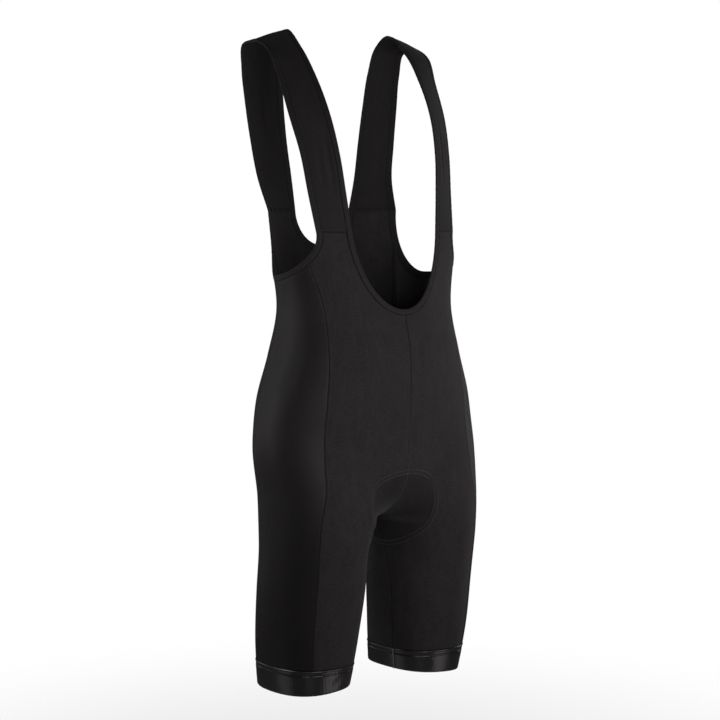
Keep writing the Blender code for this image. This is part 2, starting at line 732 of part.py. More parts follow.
def add_seat_pad():
    """The pad lies inside the crotch, from the front to the seat. Its edge is thin."""
    lengthwise = spread(PAD_BLUNT, 1, PAD_ROWS)
    rows = [pad_row(PAD_FRONT, 0, share) for share in lengthwise]
    rows += [pad_row(PAD_BACK, pi, share) for share in reversed(lengthwise[:-1])]
    depth = CLOTH + PAD_CLEARANCE
    outer, inner = [], []
    for row in rows:
        right = [(Vector((-p.x, p.y, p.z)), Vector((-d.x, d.y, d.z)), t) for p, d, t in reversed(row[1:])]
        outer.append([p + d * depth for p, d, _ in right + row])
        inner.append([p + d * (depth + t) for p, d, t in right + row])
    add_wall("seat_pad", outer, inner, "pad_foam")


for leftover in list(bpy.data.objects):
    bpy.data.objects.remove(leftover, do_unlink=True)
COLLECTION = bpy.data.collections.new(NAME)
bpy.context.scene.collection.children.link(COLLECTION)

add_body_panels()
add_leg_bands()
add_straps()
add_bindings()
add_seat_pad()
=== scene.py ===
# %% [markdown]
# # Cycling bib shorts
# Stretchy shorts for cycling, held up by two wide straps over the shoulders. A foam pad is sewn
# into the seat, and a smooth elastic band grips each leg.
# The imported part comes in first, as a fixed frame. It holds each panel as a plain solid. Every
# cloth piece below is a finer shell on the same form, which then stands for that solid.
# The imported solids are kept, and hidden where a piece stands for them.

# %% The imported part
from math import cos, pi, radians, sin

import bmesh
import bpy
import numpy as np
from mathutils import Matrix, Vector
from mathutils.kdtree import KDTree


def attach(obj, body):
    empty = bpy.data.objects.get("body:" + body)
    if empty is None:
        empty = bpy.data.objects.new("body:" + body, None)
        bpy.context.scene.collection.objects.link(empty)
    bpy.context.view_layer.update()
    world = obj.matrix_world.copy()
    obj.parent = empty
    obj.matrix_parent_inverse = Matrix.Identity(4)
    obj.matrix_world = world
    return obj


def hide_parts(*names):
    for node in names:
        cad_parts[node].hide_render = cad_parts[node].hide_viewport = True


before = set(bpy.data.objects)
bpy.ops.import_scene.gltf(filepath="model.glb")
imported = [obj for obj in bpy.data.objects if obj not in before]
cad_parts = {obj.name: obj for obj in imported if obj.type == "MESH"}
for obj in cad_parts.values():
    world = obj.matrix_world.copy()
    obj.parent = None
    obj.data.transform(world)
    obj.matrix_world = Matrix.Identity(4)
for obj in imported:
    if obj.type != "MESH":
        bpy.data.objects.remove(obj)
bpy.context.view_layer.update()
print("packed nodes:", ", ".join(sorted(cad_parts)))

# %% [markdown]
# ## The cut of the garment
# A pattern maker works from a few measures: the girth at several heights, the depth of the
# neckline and armholes, and the places of the seams. The same measures as the solids have are
# given here, in metres. The chest faces -Y, the garment's own left is +X, and z is 0 on top of
# the shoulders. A place on the body is a turn round it (0 centre front, pi centre back) and a level.

# %% Measures of the cloth and the body
def table(columns, *rows):
    """Rows of a table as dictionaries, with the names of the columns given once."""
    return [dict(zip(columns.split(), row)) for row in rows]


CLOTH = 0.0014            # thickness of the knitted panels
SEAM_GAP = 0.0003         # between two pieces at a seam
BINDING_WIDTH = 0.0075    # finished width of the neck and armhole edges
PANEL_INSET = BINDING_WIDTH + SEAM_GAP
HEM, HEM_SLANT = -0.857, 0.0076
BAND_TOP = -0.8205        # where a leg band is sewn on
MIDDLE_Y = -0.058         # the plane of the side seams

TORSO = table(            # depths from the middle plane
    "height half_width front back",
    (-0.166, 0.1580, 0.0580, 0.1040),
    (-0.236, 0.1500, 0.0655, 0.1030),
    (-0.296, 0.1385, 0.0735, 0.0970),
    (-0.356, 0.1310, 0.0810, 0.0930),
    (-0.416, 0.1415, 0.0930, 0.1080),
    (-0.476, 0.1605, 0.0935, 0.1150),
    (-0.536, 0.1695, 0.0895, 0.1060),
    (-0.596, 0.1655, 0.0960, 0.1000),
)
LEG = table(              # x of its inner and outer side, y of its front and back
    "height inner outer front back",
    (-0.5260, 0.0000, 0.1700, -0.1020, 0.0930),
    (-0.5960, 0.0000, 0.1640, -0.0960, 0.0775),
    (-0.6415, 0.0160, 0.1620, -0.0875, 0.0733),
    (-0.6660, 0.0220, 0.1615, -0.0830, 0.0715),
    (-0.7260, 0.0225, 0.1612, -0.0733, 0.0758),
    (-0.7860, 0.0310, 0.1570, -0.0628, 0.0778),
    (-0.8570, 0.0441, 0.1445, -0.0499, 0.0819),
)
LEG_CORNER, CORNER_START = 0.073, -0.700  # four soft corners of a leg, down at the hem
RISE_TOP, RISE_END = -0.540, -0.6415      # the centre line curves in under the body
RISE_SPAN = RISE_TOP - RISE_END
RISE_DEPTH = 0.104        # how far up that curve reaches at the crotch
LEG_START, LEG_FULL = -0.493, -0.672      # the body turns into two legs between these levels
CROTCH_FADE = 0.12        # below the crotch the lift of its curve dies away
CROTCH_SOFTEN, CROTCH_SHARP = 0.75, 0.01  # rounding of the crotch, off the centre line and on it
ARCH_TURN, ARCH_HEIGHT = radians(22), 0.020   # the arch between the legs, under the crotch
DRAWN_IN, DRAWN_TURN = 0.010, radians(28)     # the pad draws the centre seam in at the crotch
DRAWN_FRONT, DRAWN_BACK, DRAWN_END = (0.15, 0.60), (0.30, 1.00), -0.665

# %% Measures of the openings and seams
FRONT_SEAM, BACK_SEAM = -0.2555, -0.228   # strap seams
FRONT_NECK = {"half": radians(28.5), "drop": 0.100}
BACK_NECK = {"half": radians(17.5), "drop": 0.047}
ARMHOLE = {"middle": radians(110), "front": radians(58.5), "back": radians(24), "bottom": -0.312}
SIDE_FRONT = table(       # turn of the side seams, in degrees
    "height angle",
    (-0.293, 61.5),
    (-0.346, 55.0),
    (-0.405, 50.5),
    (-0.447, 47.3),
    (-0.489, 45.3),
    (-0.528, 46.5),
    (-0.566, 52.0),
    (-0.621, 60.5),
    (-0.706, 61.5),
    (-0.821, 61.0),
)
SIDE_BACK = table(
    "height angle",
    (-0.250, 134.0),
    (-0.346, 132.0),
    (-0.447, 130.0),
    (-0.528, 127.0),
    (-0.621, 121.0),
    (-0.821, 119.0),
)
INSEAM_TURN, INSEAM_FADE = radians(9), 0.10   # the inner leg's seam lies a little to the front

# %% Measures of the straps and the pad
STRAP = table(            # points on its two edges, from the front up and over to the back
    "neck arm",
    ((0.0752, -0.1125, -0.2060), (0.1200, -0.0900, -0.2060)),
    ((0.0800, -0.1055, -0.1560), (0.1250, -0.0805, -0.1560)),
    ((0.0840, -0.0910, -0.1060), (0.1310, -0.0640, -0.1060)),
    ((0.0860, -0.0640, -0.0560), (0.1325, -0.0425, -0.0560)),
    ((0.0865, -0.0340, -0.0180), (0.1355, -0.0245, -0.0210)),
    ((0.0830, 0.0060, 0.0095), (0.1370, 0.0080, -0.0075)),
    ((0.0785, 0.0235, -0.0060), (0.1365, 0.0320, -0.0105)),
    ((0.0725, 0.0315, -0.0390), (0.1335, 0.0385, -0.0410)),
    ((0.0670, 0.0365, -0.0860), (0.1285, 0.0380, -0.0860)),
    ((0.0605, 0.0385, -0.1360), (0.1217, 0.0355, -0.1360)),
    ((0.0530, 0.0380, -0.1860), (0.1140, 0.0300, -0.1860)),
)
STRAP_BOW, SEAM_BLEND = 0.0018, 0.06      # bulge across a strap; share of it that takes the body's shape

PAD_FRONT = {"top": -0.5575, "bottom": -0.672, "half": radians(28.5)}
PAD_BACK = {"top": -0.500, "bottom": -0.672, "half": radians(40)}
PAD_FLAT_DOWN, PAD_FLAT_ROUND = 0.028, 0.020  # where the cloth over its front is flat
STEP = 1e-4               # for slopes taken by small differences
print("levels:", FRONT_SEAM, "strap seam,", RISE_END, "crotch,", HEM, "hem")

# %% [markdown]
# ## One smooth skin
# All panels lie on one surface, so that neighbours meet without a step. It could be sculpted, but
# then the seams would have to be found on it afterwards. Written as a function of turn and level,
# any seam, stitch or crease is a line in those two numbers. numpy reads whole arrays of places at
# once, which keeps fine meshes quick.

# %% Smooth curves through the tables
def smooth_step(x):
    x = np.clip(x, 0.0, 1.0)
    return x * x * (3 - 2 * x)


def curve_through(places, values, at):
    """A smooth curve through values at rising places, read at many places at once."""
    places, values = np.asarray(places, float), np.asarray(values, float)
    at = np.clip(at, places[0], places[-1])
    steps = np.diff(places)
    rises = np.diff(values) / steps
    slopes = np.concatenate((rises[:1], np.empty(len(places) - 2), rises[-1:]))
    slopes[1:-1] = (rises[:-1] * steps[1:] + rises[1:] * steps[:-1]) / (steps[:-1] + steps[1:])
    row = np.clip(np.searchsorted(places, at, side="right") - 1, 0, len(places) - 2)
    span = steps[row]
    s = (at - places[row]) / span
    return (values[row] * (2 * s**3 - 3 * s**2 + 1) + slopes[row] * span * (s**3 - 2 * s**2 + s)
            + values[row + 1] * (-2 * s**3 + 3 * s**2) + slopes[row + 1] * span * (s**3 - s**2))


def section(rows, column, height):
    """One column of a table at many heights. Tables run from the top down."""
    return curve_through([-row["height"] for row in rows], [row[column] for row in rows], -height)


# %% How the body parts into legs
def rise_area(down):
    """How far the centre line has curved in, added up from the start of the rise."""
    within = np.clip(down, 0, 1)
    return within - 2 / pi * np.sin(within * pi / 2) + np.maximum(down - 1, 0)


def lift_area(down):
    """The same for how far it is lifted."""
    within = np.clip(down, 0, 1)
    fade = CROTCH_FADE / RISE_SPAN
    left = np.clip(1 - (down - 1) / fade, 0, 1)
    return (RISE_SPAN * within**2 / 2 - RISE_DEPTH * 2 / pi * (1 - np.cos(within * pi / 2))
            + (RISE_SPAN - RISE_DEPTH) * fade / 3 * (1 - left**3))


def averaged(area, down, window):
    """The mean over a window, which rounds the crotch."""
    return (area(down + window) - area(down - window)) / (2 * window)


def leg_gap(turn, level):
    """Distance of the inner leg from the centre plane, an arch that starts at the crotch."""
    from_centre = np.minimum(np.minimum(np.abs(turn), np.abs(turn - pi)) / ARCH_TURN, 1)
    below = np.maximum(RISE_END - level, 0.0) / ARCH_HEIGHT
    arch = 1 - np.cos(from_centre * pi / 2) ** 2 * np.maximum(1 - np.sqrt(below), 0.0)
    return section(LEG, "inner", level) * arch


def drawn_in(turn, level):
    """How far the pad draws the cloth in along the centre seam, as a step in space."""
    down = (RISE_TOP - level) / RISE_SPAN
    in_front = turn < pi / 2
    start, full = (np.where(in_front, front, back) for front, back in zip(DRAWN_FRONT, DRAWN_BACK))
    fade = smooth_step((level - DRAWN_END) / (RISE_END - DRAWN_END))
    share = smooth_step((down - start) / (full - start)) * fade
    from_centre = np.minimum(np.abs(turn), np.abs(turn - pi))
    depth = DRAWN_IN * share * np.maximum(1 - from_centre / DRAWN_TURN, 0)
    tilt = np.clip(down, 0, 1) * pi / 2
    return np.stack((depth * 0, depth * np.cos(tilt) * np.where(in_front, 1, -1), depth * np.sin(tilt)), -1)


# %% The skin of the left half
def soft_skin(turn, level):
    """The left half without the flat cloth over the front of the pad."""
    depth = np.where(np.cos(turn) > 0, section(TORSO, "front", level), section(TORSO, "back", level))
    body_x = section(TORSO, "half_width", level) * np.sin(turn)
    body_y = -depth * np.cos(turn)

    inner, outer = leg_gap(turn, level), section(LEG, "outer", level)
    front, back = section(LEG, "front", level), section(LEG, "back", level)
    start = smooth_step((CORNER_START - level) / (CORNER_START - HEM))
    corner = 1 + LEG_CORNER * np.sin(4 * turn) ** 2 * start
    leg_x = (inner + outer) / 2 - (outer - inner) / 2 * np.cos(2 * turn) * corner
    leg_y = (front + back) / 2 - (back - front) / 2 * np.sin(2 * turn) * corner

    down = (RISE_TOP - level) / RISE_SPAN
    window = np.maximum(CROTCH_SOFTEN * np.sin(2 * turn) ** 2, CROTCH_SHARP)
    centre = np.where((turn < pi / 4) | (turn > 3 * pi / 4), np.cos(2 * turn) ** 2, 0.0)
    side_share = smooth_step((LEG_START - level) / (LEG_START - LEG_FULL))
    share = side_share + (averaged(rise_area, down, window) - side_share) * centre
    lift = averaged(lift_area, down, window)
    points = np.stack((
        (1 - share) * body_x + share * leg_x + SEAM_GAP / 2,
        (1 - share) * body_y + share * leg_y + MIDDLE_Y,
        level + lift * centre,
    ), axis=-1)
    return points + drawn_in(turn, level)


def skin(turn, level):
    """Points on the outer face of the left half. Over the front of the pad the cloth is flat."""
    turn, level = np.broadcast_arrays(np.asarray(turn, float), np.asarray(level, float))
    points = soft_skin(turn, level)
    top, bottom = PAD_FRONT["top"], PAD_FRONT["bottom"]
    edge = PAD_FRONT["half"] * np.sqrt(np.maximum(1 - ((2 * level - top - bottom) / (top - bottom)) ** 2, 0))
    inside = (turn < edge) & (edge > 0)
    if not inside.any():
        return points
    turn, level, edge = turn[inside], level[inside], edge[inside]
    fade = smooth_step((level - RISE_END) / PAD_FLAT_ROUND)
    flat = smooth_step((top - level) / PAD_FLAT_DOWN) * fade
    middle, side = soft_skin(np.zeros_like(turn), level), soft_skin(edge, level)
    chord = middle + (side - middle) * (turn / edge)[:, None]
    points[inside] += (chord - points[inside]) * flat[:, None]
    return points


# %% Directions on a surface
def unit(vectors):
    return vectors / np.maximum(np.linalg.norm(vectors, axis=-1, keepdims=True), 1e-12)


def slopes(surface, a, b):
    """The two directions of a surface at many places."""
    return ((surface(a + STEP, b) - surface(a - STEP, b)) / (2 * STEP),
            (surface(a, b + STEP) - surface(a, b - STEP)) / (2 * STEP))


def outward(surface, a, b):
    along_a, along_b = slopes(surface, a, b)
    return unit(np.cross(along_a, along_b))


def on_skin(turn, level):
    """Points of the skin and the directions that it faces there."""
    return skin(turn, level), outward(skin, turn, level)

# %% [markdown]
# ## Edges and seams as lines on the skin
# Neckline and armholes are quarter ellipses in turn and level: phi is 0 at the lowest point and a
# quarter turn at the strap seam. A binding is measured square to its edge, so a helper turns a
# short step in space back into turn and level.

# %% Openings
def opening_edge(middle, half, seam, drop):
    """A quarter ellipse from its lowest point up to a strap seam."""
    return lambda phi: (middle + half * np.sin(phi), seam - drop * np.cos(phi))


front_neck = opening_edge(0, FRONT_NECK["half"], FRONT_SEAM, FRONT_NECK["drop"])
back_neck = opening_edge(pi, -BACK_NECK["half"], BACK_SEAM, BACK_NECK["drop"])
front_armhole = opening_edge(ARMHOLE["middle"], -ARMHOLE["front"], FRONT_SEAM, FRONT_SEAM - ARMHOLE["bottom"])
back_armhole = opening_edge(ARMHOLE["middle"], ARMHOLE["back"], BACK_SEAM, BACK_SEAM - ARMHOLE["bottom"])


def stepped(turn, level, step, along_turn, along_level):
    """The place that a short step in space leads to, along the skin and its two directions."""
    tt, tl, ll = ((a * b).sum(-1) for a, b in
                  ((along_turn, along_turn), (along_turn, along_level), (along_level, along_level)))
    it, il = (step * along_turn).sum(-1), (step * along_level).sum(-1)
    area = tt * ll - tl * tl
    return turn + (it * ll - il * tl) / area, level + (il * tt - it * tl) / area


def inset(edge, phi, depth):
    """Places that lie depth inside an edge, measured square to it."""
    phi = np.asarray(phi, float)
    turn, level = edge(phi)
    turn_step, level_step = (after - before for after, before in zip(edge(phi + STEP), edge(phi - STEP)))
    along_turn, along_level = slopes(skin, turn, level)
    run = along_turn * turn_step[..., None] + along_level * level_step[..., None]
    into = unit(np.cross(np.cross(along_turn, along_level), run))
    from_opening = 1 if edge in (front_neck, back_armhole) else -1
    towards = np.where(phi < pi / 4, -into[..., 2], (into * along_turn).sum(-1) * from_opening)
    into = into * np.where(towards < 0, -1, 1)[..., None]
    return stepped(turn, level, into * depth, along_turn, along_level)


# %% Seams between the panels
def panel_seam(rows):
    return lambda level: np.radians(section(rows, "angle", level))


side_front, side_back = panel_seam(SIDE_FRONT), panel_seam(SIDE_BACK)


def inseam(level):
    return INSEAM_TURN * smooth_step((RISE_END - level) / INSEAM_FADE)


def inseam_behind(level):
    return pi + inseam(level)


def hem(turn):
    return HEM + HEM_SLANT * (1 + np.cos(2 * turn)) / 2


HALVINGS = 40             # rounds of the search below, far past the last digit


def meets(edge, seam):
    """phi where the inner side of an edge's binding crosses a side seam."""
    low, high = 0.0, pi / 2
    towards = 1 if edge is back_armhole else -1
    for _ in range(HALVINGS):
        middle = (low + high) / 2
        turn, level = inset(edge, middle, PANEL_INSET)
        if (turn - seam(level)) * towards > 0:
            high = middle
        else:
            low = middle
    return (low + high) / 2


FRONT_CROSSING = meets(front_armhole, side_front)
BACK_CROSSING = meets(back_armhole, side_back)


def lengths_along(points):
    """Distance from the first of a line's points to each of them."""
    return np.concatenate(([0.0], np.cumsum(np.linalg.norm(np.diff(points, axis=0), axis=1))))


SEAM_TURNS = 9            # turns at which a strap seam is measured


def seam_turn(across, seam, neck, arm):
    """The turn on the skin a share of the way across a strap seam."""
    turns = np.linspace(neck, arm, SEAM_TURNS)
    lengths = lengths_along(skin(turns, seam))
    return curve_through(lengths / lengths[-1], turns, across)


def between_edges(seam, neck, arm, count):
    """Turns along a strap seam, from the edge on the neck side to the one on the armhole side."""
    margin = PANEL_INSET / np.linalg.norm(skin(arm, seam) - skin(neck, seam))
    return seam_turn(np.linspace(margin, 1 - margin, count), seam, neck, arm)

# %% [markdown]
# ## The shoulder strap
# A strap is a ribbon between two edge lines that run over the shoulder. It bulges a little across
# its width, and at both ends it takes the body's own shape, so that the seam lies flat.

# %% The strap's surface
STRAP_ENDS = (            # place along the strap, level, and turn at its neck side and its armhole side
    (0.0, FRONT_SEAM, front_neck(pi / 2)[0], front_armhole(pi / 2)[0]),
    (1.0, BACK_SEAM, back_neck(pi / 2)[0], back_armhole(pi / 2)[0]),
)
STRAP_EDGES = [
    np.array([skin(STRAP_ENDS[0][end], FRONT_SEAM), *(row[side] for row in STRAP),
              skin(STRAP_ENDS[1][end], BACK_SEAM)])
    for side, end in (("neck", 2), ("arm", 3))
]
STRAP_PLACES = lengths_along((STRAP_EDGES[0] + STRAP_EDGES[1]) / 2)
STRAP_PLACES /= STRAP_PLACES[-1]


def strap_edge(side, along):
    points = STRAP_EDGES[side]
    return np.stack([curve_through(STRAP_PLACES, points[:, axis], along) for axis in range(3)], -1)


def strap_plain(across, along):
    """A strap with straight cross-lines that bulge a little."""
    neck, arm = strap_edge(0, along), strap_edge(1, along)
    run = strap_edge(0, np.minimum(along + STEP, 1)) - strap_edge(0, np.maximum(along - STEP, 0))
    bow = STRAP_BOW * 4 * across * (1 - across)
    return neck + (arm - neck) * across[..., None] + unit(np.cross(arm - neck, run)) * bow[..., None]


def strap(across, along):
    """Points on the left strap: across 0 neck side to 1 armhole side, along 0 front to 1 back."""
    across, along = np.broadcast_arrays(np.asarray(across, float), np.asarray(along, float))
    points = strap_plain(across, along)
    for end, seam, neck, arm in STRAP_ENDS:
        share = 1 - smooth_step(np.abs(along - end) / SEAM_BLEND)
        body = skin(seam_turn(across, seam, neck, arm), seam)
        points = points + (body - strap_plain(across, np.full_like(along, end))) * share[..., None]
    return points


def strap_outward(across, along):
    across, along = np.broadcast_arrays(np.asarray(across, float), np.asarray(along, float))
    normal = outward(strap, across, along)
    for end, seam, neck, arm in STRAP_ENDS:
        share = (1 - smooth_step(np.abs(along - end) / SEAM_BLEND))[..., None]
        normal = normal + (outward(skin, seam_turn(across, seam, neck, arm), seam) - normal) * share
    return unit(normal)


def strap_width(along):
    return np.linalg.norm(strap_edge(1, along) - strap_edge(0, along), axis=-1)


ALONG_STRAP = np.linspace(0, 1, 200)
STRAP_LENGTH = lengths_along(strap(0.5, ALONG_STRAP))[-1]
print(f"strap: {STRAP_LENGTH:.3f} m long, {strap_width(np.array(0.0)):.3f} m wide at the front seam")

# %% [markdown]
# ## From grids to cloth
# Cloth is a wall between two grids of points, an outer and an inner one, closed at its rims. Solidify
# could thicken a single sheet, but here the outer face also rolls down into the seams while the
# inner one stays, so both grids are worked out. Each mesh carries a UV map in metres and a mark
# of painted shade that is 1 at a seam, which the fabric's finish reads to darken its colour.

# %% Meshes from arrays
SHARP_ANGLE = radians(50)
HALVES = (("left", False), ("right", True))         # side, and whether it is the mirror image
MIRROR = (-1, 1, 1)


def add_object(name, data):
    thing = bpy.data.objects.new(name, data)
    bpy.context.scene.collection.objects.link(thing)
    return thing


def quads(rows, columns, hoop=False, ring=False):
    """Corner numbers of a grid's faces, and the same corners as (row, column) for its UV map."""
    k = np.arange(rows if hoop else rows - 1)[:, None]
    j = np.arange(columns if ring else columns - 1)[None, :]
    corners = [(k, j), (k + 1, j), (k + 1, j + 1), (k, j + 1)]
    faces = np.stack([a % rows * columns + b % columns for a, b in corners], -1).reshape(-1, 4)
    places = np.stack([a * (columns + 1) + b for a, b in corners], -1).reshape(-1, 4)
    return faces, places


def add_piece(name, points, faces, loop_uv, material, mark, mirrored):
    """A mesh object from arrays, turned to face outwards."""
    if mirrored:
        points = points * MIRROR
    a, b, c, d = (points[faces[:, i]] for i in range(4))
    volume = (a * np.cross(b, c)).sum() + (a * np.cross(c, d)).sum()
    if volume < 0:
        faces, loop_uv = faces[:, ::-1], loop_uv[:, ::-1]
    mesh = bpy.data.meshes.new(name)
    mesh.from_pydata(points.tolist(), [], faces.tolist())
    mesh.shade_smooth()
    mesh.set_sharp_from_angle(angle=SHARP_ANGLE)
    mesh.uv_layers.new(name="cloth").uv.foreach_set("vector", loop_uv.reshape(-1).astype(np.float32))
    # the mark is painted shade, which the finishes read to darken the colour
    attribute = mesh.attributes.new("painted_shade_mark", "FLOAT", "POINT")
    attribute.data.foreach_set("value", mark.reshape(-1).astype(np.float32))
    mesh.materials.append(material)
    return add_object(name, mesh)


# %% Walls and tubes from grids
def wrapped(values, hoop, ring):
    """A grid of UV places, one step longer each way, with the step past a closed end carried on."""
    last_row = 2 * values[-1:] - values[-2:-1] if hoop else values[-1:]
    values = np.concatenate((values, last_row), 0)
    last_column = 2 * values[:, -1:] - values[:, -2:-1] if ring else values[:, -1:]
    return np.concatenate((values, last_column), 1)


def add_wall(name, outer, inner, uv, material, mark, mirrored, ring=False):
    """A closed wall between two grids. ring joins its last column to the first."""
    rows, columns = outer.shape[:2]
    count = rows * columns
    faces, places = quads(rows, columns, ring=ring)
    grid = np.arange(count).reshape(rows, columns)
    if ring:
        grid = np.concatenate((grid, grid[:, :1]), 1)
    rims = [(grid[0, :-1], grid[0, 1:]), (grid[-1, 1:], grid[-1, :-1])]
    if not ring:
        rims += [(grid[1:, 0], grid[:-1, 0]), (grid[:-1, -1], grid[1:, -1])]
    rim_faces = np.concatenate([np.stack((s, e, e + count, s + count), -1) for s, e in rims])
    flat_uv, wide_uv = uv.reshape(-1, 2), wrapped(uv, False, ring).reshape(-1, 2)
    all_faces = np.concatenate((faces, faces[:, ::-1] + count, rim_faces))
    loop_uv = np.concatenate((wide_uv[places], wide_uv[places][:, ::-1], flat_uv[rim_faces % count]))
    points = np.concatenate((outer.reshape(-1, 3), inner.reshape(-1, 3)))
    return add_piece(name, points, all_faces, loop_uv, material, np.tile(mark.reshape(-1), 2), mirrored)


def sweep_uv(around, run):
    """UV places of a swept form: round its profile, and along its line."""
    return np.stack(np.broadcast_arrays(around[None, :], run[:, None]), -1)


def add_tube(name, grid, uv, material, mark, mirrored, hoop=True):
    """A closed form swept along a line: one row for each station, one column round its profile."""
    rows, columns = grid.shape[:2]
    faces, places = quads(rows, columns, hoop=hoop, ring=True)
    loop_uv = wrapped(uv, hoop, True).reshape(-1, 2)[places]
    if not hoop:
        ends = [np.arange(columns)[::-1], (rows - 1) * columns + np.arange(columns)]
        half = columns // 2
        for end in ends:
            caps = np.array([[end[i], end[i + 1], end[-i - 2], end[-i - 1]] for i in range(half - 1)])
            faces = np.concatenate((faces, caps))
            loop_uv = np.concatenate((loop_uv, uv.reshape(-1, 2)[caps]))
    return add_piece(name, grid.reshape(-1, 3), faces, loop_uv, material, mark, mirrored)


# %% Places in the grids
ROLL_SHARES = np.array((0.12, 0.28, 0.5, 0.75))     # extra columns where the cloth rolls into a seam


def fine_ends(start, end, count):
    """Even steps, with the first and last split up for the roll of a seam."""
    even = np.linspace(start, end, count + 1)
    first = even[0] + (even[1] - even[0]) * ROLL_SHARES
    last = even[-1] - (even[-1] - even[-2]) * ROLL_SHARES[::-1]
    return np.concatenate((even[:1], first, even[1:-1], last, even[-1:]))


def grid_uv(points):
    """UV places in metres, measured along the rows and down the columns."""
    across = np.linalg.norm(np.diff(points, axis=1), axis=2).cumsum(1)
    down = np.linalg.norm(np.diff(points, axis=0), axis=2).cumsum(0)
    u = np.concatenate((np.zeros_like(across[:, :1]), across), 1)
    v = np.concatenate((np.zeros_like(down[:1]), down), 0)
    return np.stack((u - u[:, -1:] / 2, points[:1, :, 2] - v), -1)

# %% [markdown]
# ## Seams, puckers and creases
# Where two panels are sewn together, both roll inwards over a millimetre or so and leave a thin dark
# valley. The thread draws the cloth up a little, which shows as faint even puckers. Longer soft
# creases come from the way the garment pulls. Each is given as a line on the skin with its
# own width and depth. Noise would put them anywhere, and real ones are not just anywhere.

# %% Rolls and puckers
# the third measure is how far the painted shade along a seam's valley reaches
SEAM_DEPTH, SEAM_ROLL, SEAM_PAINTED_REACH = 0.00075, 0.0013, 0.00091
PUCKER_PITCH, PUCKER_HEIGHT, PUCKER_REACH = 0.0085, 0.00010, 0.005
PUCKER_SECOND = (0.5, 1.7)          # height and pitch of a second wave, which makes them uneven
SAMPLE_STEP = 0.0005      # between the places of a seam that distances are measured to


def read_line(line, run, at):
    """Points of a line at some distances along it."""
    return np.stack([np.interp(at, run, line[:, axis]) for axis in range(3)], -1)


def seam_distance(points, edges):
    """Distance of each point to the nearest edge line, and how far along that line it is."""
    samples, runs = [], []
    for edge in edges:
        run = lengths_along(edge)
        fine = np.linspace(0, run[-1], max(int(run[-1] / SAMPLE_STEP), 2))
        samples.append(read_line(edge, run, fine))
        runs.append(fine)
    samples, runs = np.concatenate(samples), np.concatenate(runs)
    tree = KDTree(len(samples))
    for number, sample in enumerate(samples):
        tree.insert(sample, number)
    tree.balance()
    found = [tree.find(point)[1:] for point in points.reshape(-1, 3)]
    numbers = np.array([number for number, _ in found])
    distance = np.array([far for _, far in found]).reshape(points.shape[:-1])
    return distance, runs[numbers].reshape(points.shape[:-1])


def seam_roll(distance):
    """How far the outer face sinks at this distance from a seam, like a quarter circle."""
    left = np.clip(1 - distance / SEAM_ROLL, 0, 1)
    return SEAM_DEPTH * (1 - np.sqrt(1 - left**2))


def pucker(distance, run):
    share, pitch = PUCKER_SECOND
    wave = np.sin(2 * pi * run / PUCKER_PITCH) + share * np.sin(2 * pi * run / (PUCKER_PITCH * pitch) + 1)
    return PUCKER_HEIGHT * wave * np.exp(-distance / PUCKER_REACH)


# %% Creases, listed one by one: (turn in degrees, level) at both ends
BODY_CREASES = table(
    "side start end width depth",
    ("left", (6, -0.385), (7.5, -0.455), 0.0045, 0.0006),
    ("left", (12, -0.400), (14, -0.475), 0.0060, 0.0004),
    ("left", (30, -0.560), (33, -0.620), 0.0060, 0.0006),
    ("right", (34, -0.575), (31, -0.640), 0.0060, 0.0005),
    ("right", (41, -0.322), (45, -0.330), 0.0030, 0.0003),
    ("right", (70, -0.395), (76, -0.470), 0.0080, 0.0005),
    ("left", (74, -0.380), (80, -0.450), 0.0080, 0.0005),
    ("left", (150, -0.300), (148, -0.370), 0.0070, 0.0006),
    ("right", (155, -0.310), (151, -0.375), 0.0070, 0.0005),
    ("left", (158, -0.585), (140, -0.622), 0.0075, 0.0009),
    ("right", (156, -0.590), (138, -0.622), 0.0075, 0.0008),
    ("left", (162, -0.560), (146, -0.592), 0.0065, 0.0005),
    ("right", (165, -0.565), (150, -0.592), 0.0065, 0.0006),
    ("left", (170, -0.640), (150, -0.665), 0.0060, 0.0006),
    ("right", (168, -0.645), (146, -0.670), 0.0060, 0.0007),
)
# and on the straps: (across, along) at both ends
STRAP_CREASES = table(
    "side start end width depth",
    ("right", (0.34, 0.07), (0.28, 0.26), 0.0038, 0.0015),
    ("right", (0.56, 0.09), (0.52, 0.24), 0.0040, 0.0009),
    ("left", (0.40, 0.10), (0.34, 0.30), 0.0032, 0.0009),
    ("left", (0.60, 0.14), (0.56, 0.27), 0.0035, 0.0006),
    ("right", (0.45, 0.66), (0.50, 0.84), 0.0035, 0.0007),
    ("left", (0.55, 0.64), (0.48, 0.80), 0.0035, 0.0007),
)
CREASE_POINTS, CREASE_ENDS = 24, 1 / 3     # points on a crease; it fades out over this share at each end
SWELL, SWELL_AWAY = 0.45, 1.7       # the cloth swells beside a crease: share of its depth, in widths away


def crease_lift(points, side, surface, creases):
    """How far each point moves outwards by the creases of its side, in metres."""
    lift = np.zeros(points.shape[:-1])
    for crease in creases:
        if crease["side"] != side:
            continue
        (a, b), (c, d) = crease["start"], crease["end"]
        t = np.linspace(0, 1, CREASE_POINTS)
        first, second = a + (c - a) * t, b + (d - b) * t
        line = surface(np.radians(first) if surface is skin else first, second)
        near = np.full(lift.shape, 1.0)
        place = np.zeros(lift.shape)
        for share, point in zip(t, line):
            far = np.linalg.norm(points - point, axis=-1)
            closer = far < near
            near[closer], place[closer] = far[closer], share
        offset = near / crease["width"]
        fold = np.exp(-offset**2) - SWELL * np.exp(-((offset - SWELL_AWAY) ** 2))
        lift -= crease["depth"] * fold * smooth_step(np.minimum(place, 1 - place) / CREASE_ENDS)
    return lift

# %% [markdown]
# ## Fabric finishes
# The body is a warp knit: fine upright wales with a faint melange, matt, with a soft sheen where it
# turns away. The side panels are smoother and a little shinier. The leg bands are satin elastic.
# All of them share one effect, the knit itself, so it is a node group with its own inputs: rows of
# stitches from the UV map in metres, and slow mottling from the object's own space.

